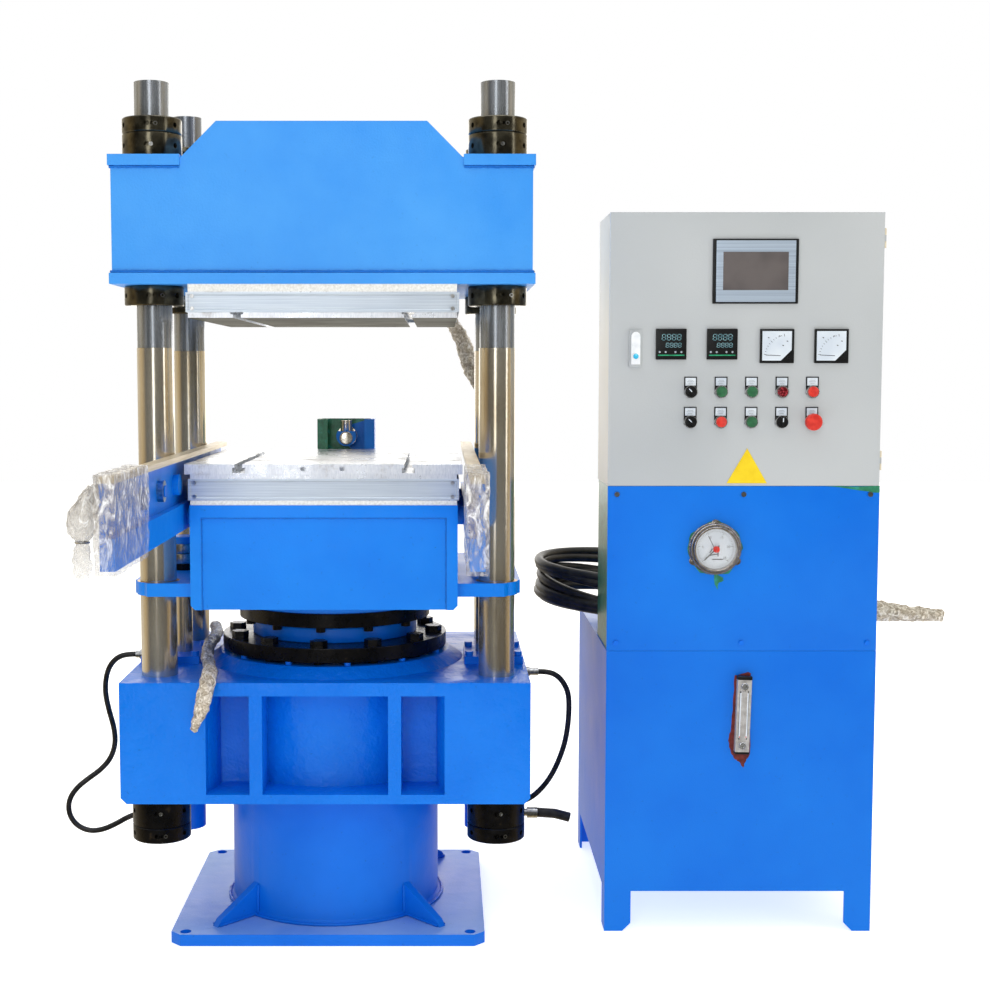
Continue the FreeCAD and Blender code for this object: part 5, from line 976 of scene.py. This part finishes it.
# gauge glass: clear and flat, set in front of the hands
glass, tree, place = finish("clear_glass", Roughness=0.03, Alpha=0.12)
add(tree, "Bump", {"Height": noise(tree, place, 30), "Strength": 0.02, "Distance": 0.001}, to="Normal")
glass_disc = disc("gauge_glass", (GAUGE[0], -246.6, GAUGE[1]), 49.5, 1.2, "Y", 64)
apply_modifier(glass_disc, "BEVEL", width=0.0003, segments=1)
settle(glass_disc, glass, "frame")

# patches of old paint round the gauge and of red primer round the level gauge: thin films on the panel
primer_red = surface("red_oxide_primer", 10, ["#5E1A1A", "#7C2A24"], detail=5.0, Roughness=0.6)


def patch(name, points, material):
    """A ragged film of old paint on the cabinet's front, through (x, z) points."""
    ragged = []
    for (x0, z0), (x1, z1) in zip(points, points[1:] + points[:1]):
        for k in range(4):
            share = k / 4
            ragged.append((x0 + (x1 - x0) * share + random.uniform(-1.3, 1.3),
                           z0 + (z1 - z0) * share + random.uniform(-1.3, 1.3)))
    settle(plate(name, ragged, FACE - 0.05, 0.35), material, "frame")


around = [spoke(GAUGE, 66 + 3 * math.sin(math.radians(150 * k)), 30 * k) for k in range(12)]
patch("old_green_round_gauge", around, puller_green)
patch("old_green_drip", [(918, 876), (938, 866), (942, 858), (930, 852), (927, 836), (920, 852)],
      puller_green)
patch("old_green_top_edge", [(1180, 1083), (1308, 1082.5), (1308, 1066), (1250, 1074)], puller_green)

# ---------------------------------------------------------------- level gauge
# An oil level gauge: folded aluminium housing with black end caps, a clear column over a printed card,
# and two chromed banjo screws. Red primer shows round it where it was moved.
patch("primer_round_level", [(972, 628), (968, 560), (966, 500), (958, 470), (966, 440), (975, 424),
                             (987, 416),
                             (995, 402), (1003, 424), (1012, 436), (1008, 520), (1010, 634), (1004, 636)],
      primer_red)
housing = surface("anodised_aluminium", 15, ["#B9B6B3", "#D6D4D2"], detail=3.0, Metallic=0.4, Roughness=0.42)
eased("level_gauge", housing, "frame", 1.0)
LEVEL = (991, 442, 627)   # its middle, foot and head
LEAN = math.radians(1.5)
CARD_FACE = FACE - 18.2


def leaned(piece):
    """Turn a piece with the level gauge, about its middle."""
    return reshape(piece, bpy.ops.transform.rotate, value=-LEAN, orient_axis="Y",
                   center_override=(LEVEL[0] / 1000, FACE / 1000, (LEVEL[1] + LEVEL[2]) / 2000))


for low, high in ((620, 629), (440, 446)):
    cap = block("level_cap", (LEVEL[0] - 18, FACE - 19, low), (LEVEL[0] + 18, FACE, high))
    rounded(cap, 2, 3)
    settle(leaned(cap), black_plastic, "frame")
for z in (LEVEL[1] + 20, LEVEL[2] - 22):
    screw = disc("level_screw", (LEVEL[0], FACE - 21, z), 9.0, 7.0)
    rounded(screw, 2.2, 4)
    inset(screw, (0, -1, 0), (2.6, 0), (0.3, -2.2))
    settle(leaned(screw), collar_chrome, "frame")
card = block("level_card", (LEVEL[0] - 10, FACE - 18.4, LEVEL[1] + 38),
             (LEVEL[0] + 10, FACE - 17.4, LEVEL[2] - 38))
settle(leaned(card), dial_white, "frame")


def card_mark(start, end, up, thick, proud):
    """A level bar printed on the gauge's card, from start to end across and so far up."""
    return bar("mark", (LEVEL[0] + start, LEVEL[1] + up), (LEVEL[0] + end, LEVEL[1] + up), thick, CARD_FACE,
               proud)


TICK_PITCH = 3.5
ticks = [card_mark(-7, -2 - (k % 5 > 0) * 2, 46 + TICK_PITCH * k, 0.6, 0.3) for k in range(24)]
ticks += [card_mark(3 + (k % 5 > 0) * 2, 8, 58 + TICK_PITCH * k, 0.6, 0.3) for k in range(20)]
settle(leaned(joined("level_ticks", ticks)), ink_black, "frame")
reds = [bar("column", (LEVEL[0] - 1, LEVEL[1] + 42), (LEVEL[0] - 1, LEVEL[1] + 82), 1.6, CARD_FACE, 0.4),
        card_mark(-9, 9, 40.5, 3.0, 0.4)]
reds += [card_mark(across, across + 3, LEVEL[2] - LEVEL[1] - 44, 2.4, 0.4) for across in (-6, 4)]
settle(leaned(joined("level_reds", reds)), cap_red, "frame")

# ---------------------------------------------------------------- hydraulic hoses
# Two-wire braided rubber hoses feed the lift cylinders. Nitrile rubber: matt black, faintly brown where
# dust sticks to it, between crimped and plated ends.
hose_rubber, tree, place = finish("nitrile_hose_rubber", Roughness=0.42)
add(tree, "ValToRGB", {"Fac": noise(tree, place, 20, 5.0)}, [(0.4, "#101011"), (0.75, "#2E2B28")],
    "Base Color")
add(tree, "Bump", {"Height": noise(tree, place, 2.5), "Strength": 0.2, "Distance": 0.001}, to="Normal")
RIGHT_HOSE = [(512, -60, 605), (536, -60, 605), (560, -60, 595), (577, -59, 575), (588, -58, 549),
              (590, -56, 514), (588, -54, 470), (581, -51, 424), (567, -48, 379), (548, -45, 337),
              (525, -42, 304), (500, -40, 280), (475, -40, 268), (448, -40, 268)]
LEFT_HOSE = [(-498, -40, 645.5), (-524, -40, 645.5), (-549, -40, 635), (-567, -38, 613), (-577, -34, 582),
             (-580, -28, 542), (-573, -19, 496), (-563, -10, 451), (-561, -5, 409), (-573, -8, 371),
             (-598, -15, 343), (-629, -24, 322), (-656, -32, 301), (-675, -38, 272), (-675, -42, 237),
             (-656, -44, 208), (-624, -45, 193), (-590, -45, 196), (-557, -43, 210), (-524, -41, 229),
             (-490, -40, 240), (-450, -40, 240)]


def cord_curve(name, points, radius_mm, widths=None):
    """One smooth NURBS line through a cord's control points, given in millimetres."""
    curve = bpy.data.curves.new(name, "CURVE")
    curve.dimensions = "3D"
    curve.bevel_depth = radius_mm / 1000
    curve.bevel_resolution = 4
    curve.use_fill_caps = True
    curve.resolution_u = 8
    spline = curve.splines.new("NURBS")
    spline.points.add(len(points) - 1)
    for point, place, wide in zip(spline.points, points, widths or [1.0] * len(points)):
        point.co = (*(value / 1000 for value in place), 1)
        point.radius = wide
    spline.order_u = 3
    spline.use_endpoint_u = True
    cord = bpy.data.objects.new(name, curve)
    bpy.context.scene.collection.objects.link(cord)
    return cord


def centre_line(cord):
    """Points along a cord's smooth line, read from its curve with no bevel."""
    thick = cord.data.bevel_depth
    cord.data.bevel_depth = 0
    bare = bpy.data.meshes.new_from_object(cord.evaluated_get(bpy.context.evaluated_depsgraph_get()))
    cord.data.bevel_depth = thick
    points = [point.co.copy() for point in bare.vertices]
    bpy.data.meshes.remove(bare)
    return points


def meshed(cord):
    """A cord's curve made a mesh, and the line through its middle."""
    line = centre_line(cord)
    only(cord)
    bpy.ops.object.convert(target="MESH")
    return bpy.context.object, line


for name, points, node in (("hose_right_rubber", RIGHT_HOSE, "hose_right"),
                           ("hose_left_rubber", LEFT_HOSE, "hose_left")):
    hose, path = meshed(cord_curve(name, points, 6.8))
    settle(hose, hose_rubber, "frame", 60)
    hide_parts(node)
dress("hose_fittings", bright_zinc)
partly("hose_fittings", hose_rubber, lambda c, n: c.x > 0.5125 and c.z < 0.4)

# ---------------------------------------------------------------- coil of delivery hose
# A long heavy hose for the main cylinder lies in loose turns on the tank, screwed to the valve block at
# one end and stopped with a crimped steel fitting at the other. Every turn is of its own size and lean.
COIL = (740, 258)
# each turn's radius, height, lift and lean
TURNS = ((198, 738, 14, 0), (204, 744, 16, 40), (221, 752, 24, 15), (196, 768, 34, 60), (214, 790, 34, -10),
         (203, 828, 22, 25), (219, 836, 14, 50))
PER_TURN = 16
coil_points = [(1005, 258, 732), (986, 258, 731), (967, 254.5, 730), (950, 246, 728), (937, 232, 727),
               (929, 214, 726)]
for k in range(1, (len(TURNS) - 1) * PER_TURN + 1):
    whole, share = divmod(k / PER_TURN, 1)
    here, onward = TURNS[int(whole)], TURNS[min(int(whole) + 1, len(TURNS) - 1)]
    radius, height, lift, lean = (a + (b - a) * share for a, b in zip(here, onward))
    turn = -math.tau * k / PER_TURN
    rise = lift * math.cos(turn + math.pi + math.radians(lean))
    coil_points.append((COIL[0] + radius * math.cos(turn), COIL[1] + radius * math.sin(turn), height + rise))
coil_points.append((coil_points[-1][0] - 6, coil_points[-1][1] - 45, coil_points[-1][2] - 2))
coil = cord_curve("hose_coil_rubber", coil_points, 12.5)
coil_line = centre_line(coil)
coil.data.materials.append(hose_rubber)
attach(coil, "frame")
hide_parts("hose_coil")
end = coil_line[-1]
heading = (coil_line[-1] - coil_line[-2]).normalized()
ferrule = disc("coil_ferrule", end * 1000 + heading * 8, 15.5, 46, "Z")
nut = disc("coil_nut", end * 1000 + heading * 36, 18, 16, "Z", 6)
for piece, along in ((ferrule, 0.008), (nut, 0.036)):
    middle = end + heading * along
    swing = Vector((0, 0, 1)).rotation_difference(heading).to_matrix().to_4x4()
    piece.data.transform(Matrix.Translation(middle) @ swing @ Matrix.Translation(-middle))
    rounded(piece, 1.5, 2)
tail_end = joined("coil_end_fitting", [ferrule, nut])
settle(tail_end, bright_zinc, "frame")

# ---------------------------------------------------------------- wrapped cable tails
# Heater cables leave the plates in bundles that are wound in stretch film for shipping. The film is
# crumpled polyethylene: milky grey and shiny, with painted shade darkening its creases and painted glints in
# white.
film_wrap, tree, place = finish("crumpled_stretch_film", Roughness=0.2)
creases = noise(tree, place, 14, 7.0, 0.7, 1.2)
# painted shade and painted glints: dark brown-grey at the crumple noise's low places, near white at its high
# ones
add(tree, "ValToRGB", {"Fac": creases}, [(0.35, "#8C7F6C"), (0.5, "#C9BCA8"), (0.62, "#FFF8EC")],
    "Base Color")
add(tree, "Bump", {"Height": creases, "Strength": 0.9, "Distance": 0.006}, to="Normal")
LEFT_TAIL = [(-334, 206, 676), (-322, 150, 676), (-312, 92, 679), (-307, 30, 680), (-306, -36, 680),
             (-306, -104, 678), (-299, -172, 664), (-284, -238, 651.3), (-273, -290, 651.3),
             (-268, -328, 658), (-265, -362, 659), (-266, -393, 641), (-271, -405, 608),
             (-281, -397, 572), (-298, -388, 534)]
LEFT_WIDTHS = [0.95, 0.9, 0.85, 0.9, 0.9, 0.95, 0.9, 0.95, 1.0, 1.0, 1.1, 1.15, 1.15, 0.9, 0.6]
UPPER_TAIL = [(264, 356, 1510), (270, 388, 1509), (288, 422, 1499), (307, 450, 1479), (323, 467, 1450),
              (336, 473, 1416), (349, 470, 1378), (364, 463, 1337), (381, 456, 1299)]
UPPER_WIDTHS = [0.65, 0.7, 0.75, 0.85, 0.95, 1.1, 1.2, 1.05, 0.65]
SIDE_TAIL = [(1085, 178, 722), (1126, 178, 722), (1178, 166, 724), (1240, 155, 728), (1308, 150, 731),
             (1378, 152, 729), (1448, 155, 722), (1520, 158, 716), (1592, 160, 712)]
SIDE_WIDTHS = [1.0, 1.05, 1.15, 1.22, 1.25, 1.15, 0.95, 0.75, 0.62]
tail_crumple = bpy.data.textures.new("tail_crumple", "CLOUDS")
tail_crumple.noise_scale, tail_crumple.noise_depth = 0.020, 3
for name, points, widths, node, radius in (
        ("left_tail_wrapped", LEFT_TAIL, LEFT_WIDTHS, "cable_tail_left", 16),
        ("upper_tail_wrapped", UPPER_TAIL, UPPER_WIDTHS, "cable_tail_upper", 22),
        ("side_tail_wrapped", SIDE_TAIL, SIDE_WIDTHS, "cable_tail_side", 26)):
    tail, path = meshed(cord_curve(name, points, radius, widths))
    reshape(tail, bpy.ops.mesh.subdivide, number_cuts=1)
    apply_modifier(tail, "DISPLACE", texture=tail_crumple, texture_coords="LOCAL", strength=0.012,
                   mid_level=0.5)
    settle(tail, film_wrap, "frame", 60)
    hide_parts(node)


# ---------------------------------------------------------------- studio
# Pale seamless floor and soft studio light: a broad box in front and above, a weaker one from the right,
# and a dim warm band round the sides that gives the ground steel columns their dark edges.
bpy.ops.mesh.primitive_plane_add(size=30, location=(0.4, 0, -0.0005))
floor = bpy.context.object
floor.name = "studio_floor"
floor_white, tree, place = finish("floor_paper", Roughness=0.9, Emission_Strength=0.7)
clouds = noise(tree, place, 1000 / 0.6)
add(tree, "ValToRGB", {"Fac": clouds}, [(0.3, "#F4F4F2"), (0.7, "#FAFAF8")], ("Base Color", "Emission Color"))
floor.data.materials.append(floor_white)
floor.visible_glossy = False

world = bpy.data.worlds.new("studio")
bpy.context.scene.world = world
world.use_nodes = True
sky = world.node_tree
sky.nodes.clear()
ray = add(sky, "TexCoord").outputs["Generated"]
way = add(sky, "SeparateXYZ", {"Vector": ray})
ahead = add(sky, "MapRange", {"Value": way.outputs["Y"], "From Min": -1.0, "From Max": 1.0})
walls = add(sky, "ValToRGB", {"Fac": ahead.outputs["Result"]},
            [(0.0, "#6C6A60"), (0.22, "#454138"), (0.33, "#B39C70"), (0.5, "#EBD2A0"), (0.8, "#FFF3DC")])
height = add(sky, "ValToRGB", {"Fac": way.outputs["Z"]}, [(0.3, 0.0), (0.7, 1.0)])
dome = add(sky, "MixRGB", {"Fac": height.outputs["Color"], "Color1": walls.outputs["Color"],
                           "Color2": (1.0, 1.0, 1.0, 1.0)})
lit = add(sky, "Background", {"Color": dome.outputs["Color"], "Strength": 0.75})
seen = add(sky, "Background", {"Color": (1.0, 1.0, 1.0, 1.0), "Strength": 1.0})
camera_ray = add(sky, "LightPath").outputs["Is Camera Ray"]
either = add(sky, "MixShader", {0: camera_ray, 1: lit.outputs[0], 2: seen.outputs[0]})
add(sky, "OutputWorld", {"Surface": either.outputs[0]})

for name, at, aim, wide, tall, power, mirrored in (
        ("front_strip", (-0.7, -4.8, 2.2), (0.1, 0, 1.0), 0.9, 3.4, 30, True),
        ("right_strip", (4.4, -2.4, 2.2), (0.5, 0, 1.0), 0.5, 3.0, 18, True),
        ("front_fill", (0.2, -6.0, 2.6), (0.4, 0, 0.9), 4.5, 3.0, 64, False),
        ("top_box", (0.4, -0.4, 4.4), (0.4, 0, 0), 3.0, 3.0, 44, True),
        ("back_window", (0.4, 5.0, 1.8), (0.4, 0, 1.2), 6.0, 2.4, 85, True)):
    light = bpy.data.lights.new(name, "AREA")
    light.shape = "RECTANGLE"
    light.size, light.size_y, light.energy = wide, tall, power
    lamp = bpy.data.objects.new(name, light)
    bpy.context.scene.collection.objects.link(lamp)
    lamp.visible_glossy = mirrored
    lamp.location = at
    lamp.rotation_euler = (Vector(aim) - Vector(at)).to_track_quat("-Z", "Y").to_euler()

camera_data = bpy.data.cameras.new("camera")
camera_data.lens, camera_data.sensor_width = 55.64, 36.0
camera_data.shift_x = 0.0535
camera = bpy.data.objects.new("camera", camera_data)
bpy.context.scene.collection.objects.link(camera)
camera.location = (0.271, -3.843, 1.350)
camera.rotation_euler = (math.radians(85.44), 0, 0)
bpy.context.scene.camera = camera
bpy.context.scene.view_settings.view_transform = "Standard"
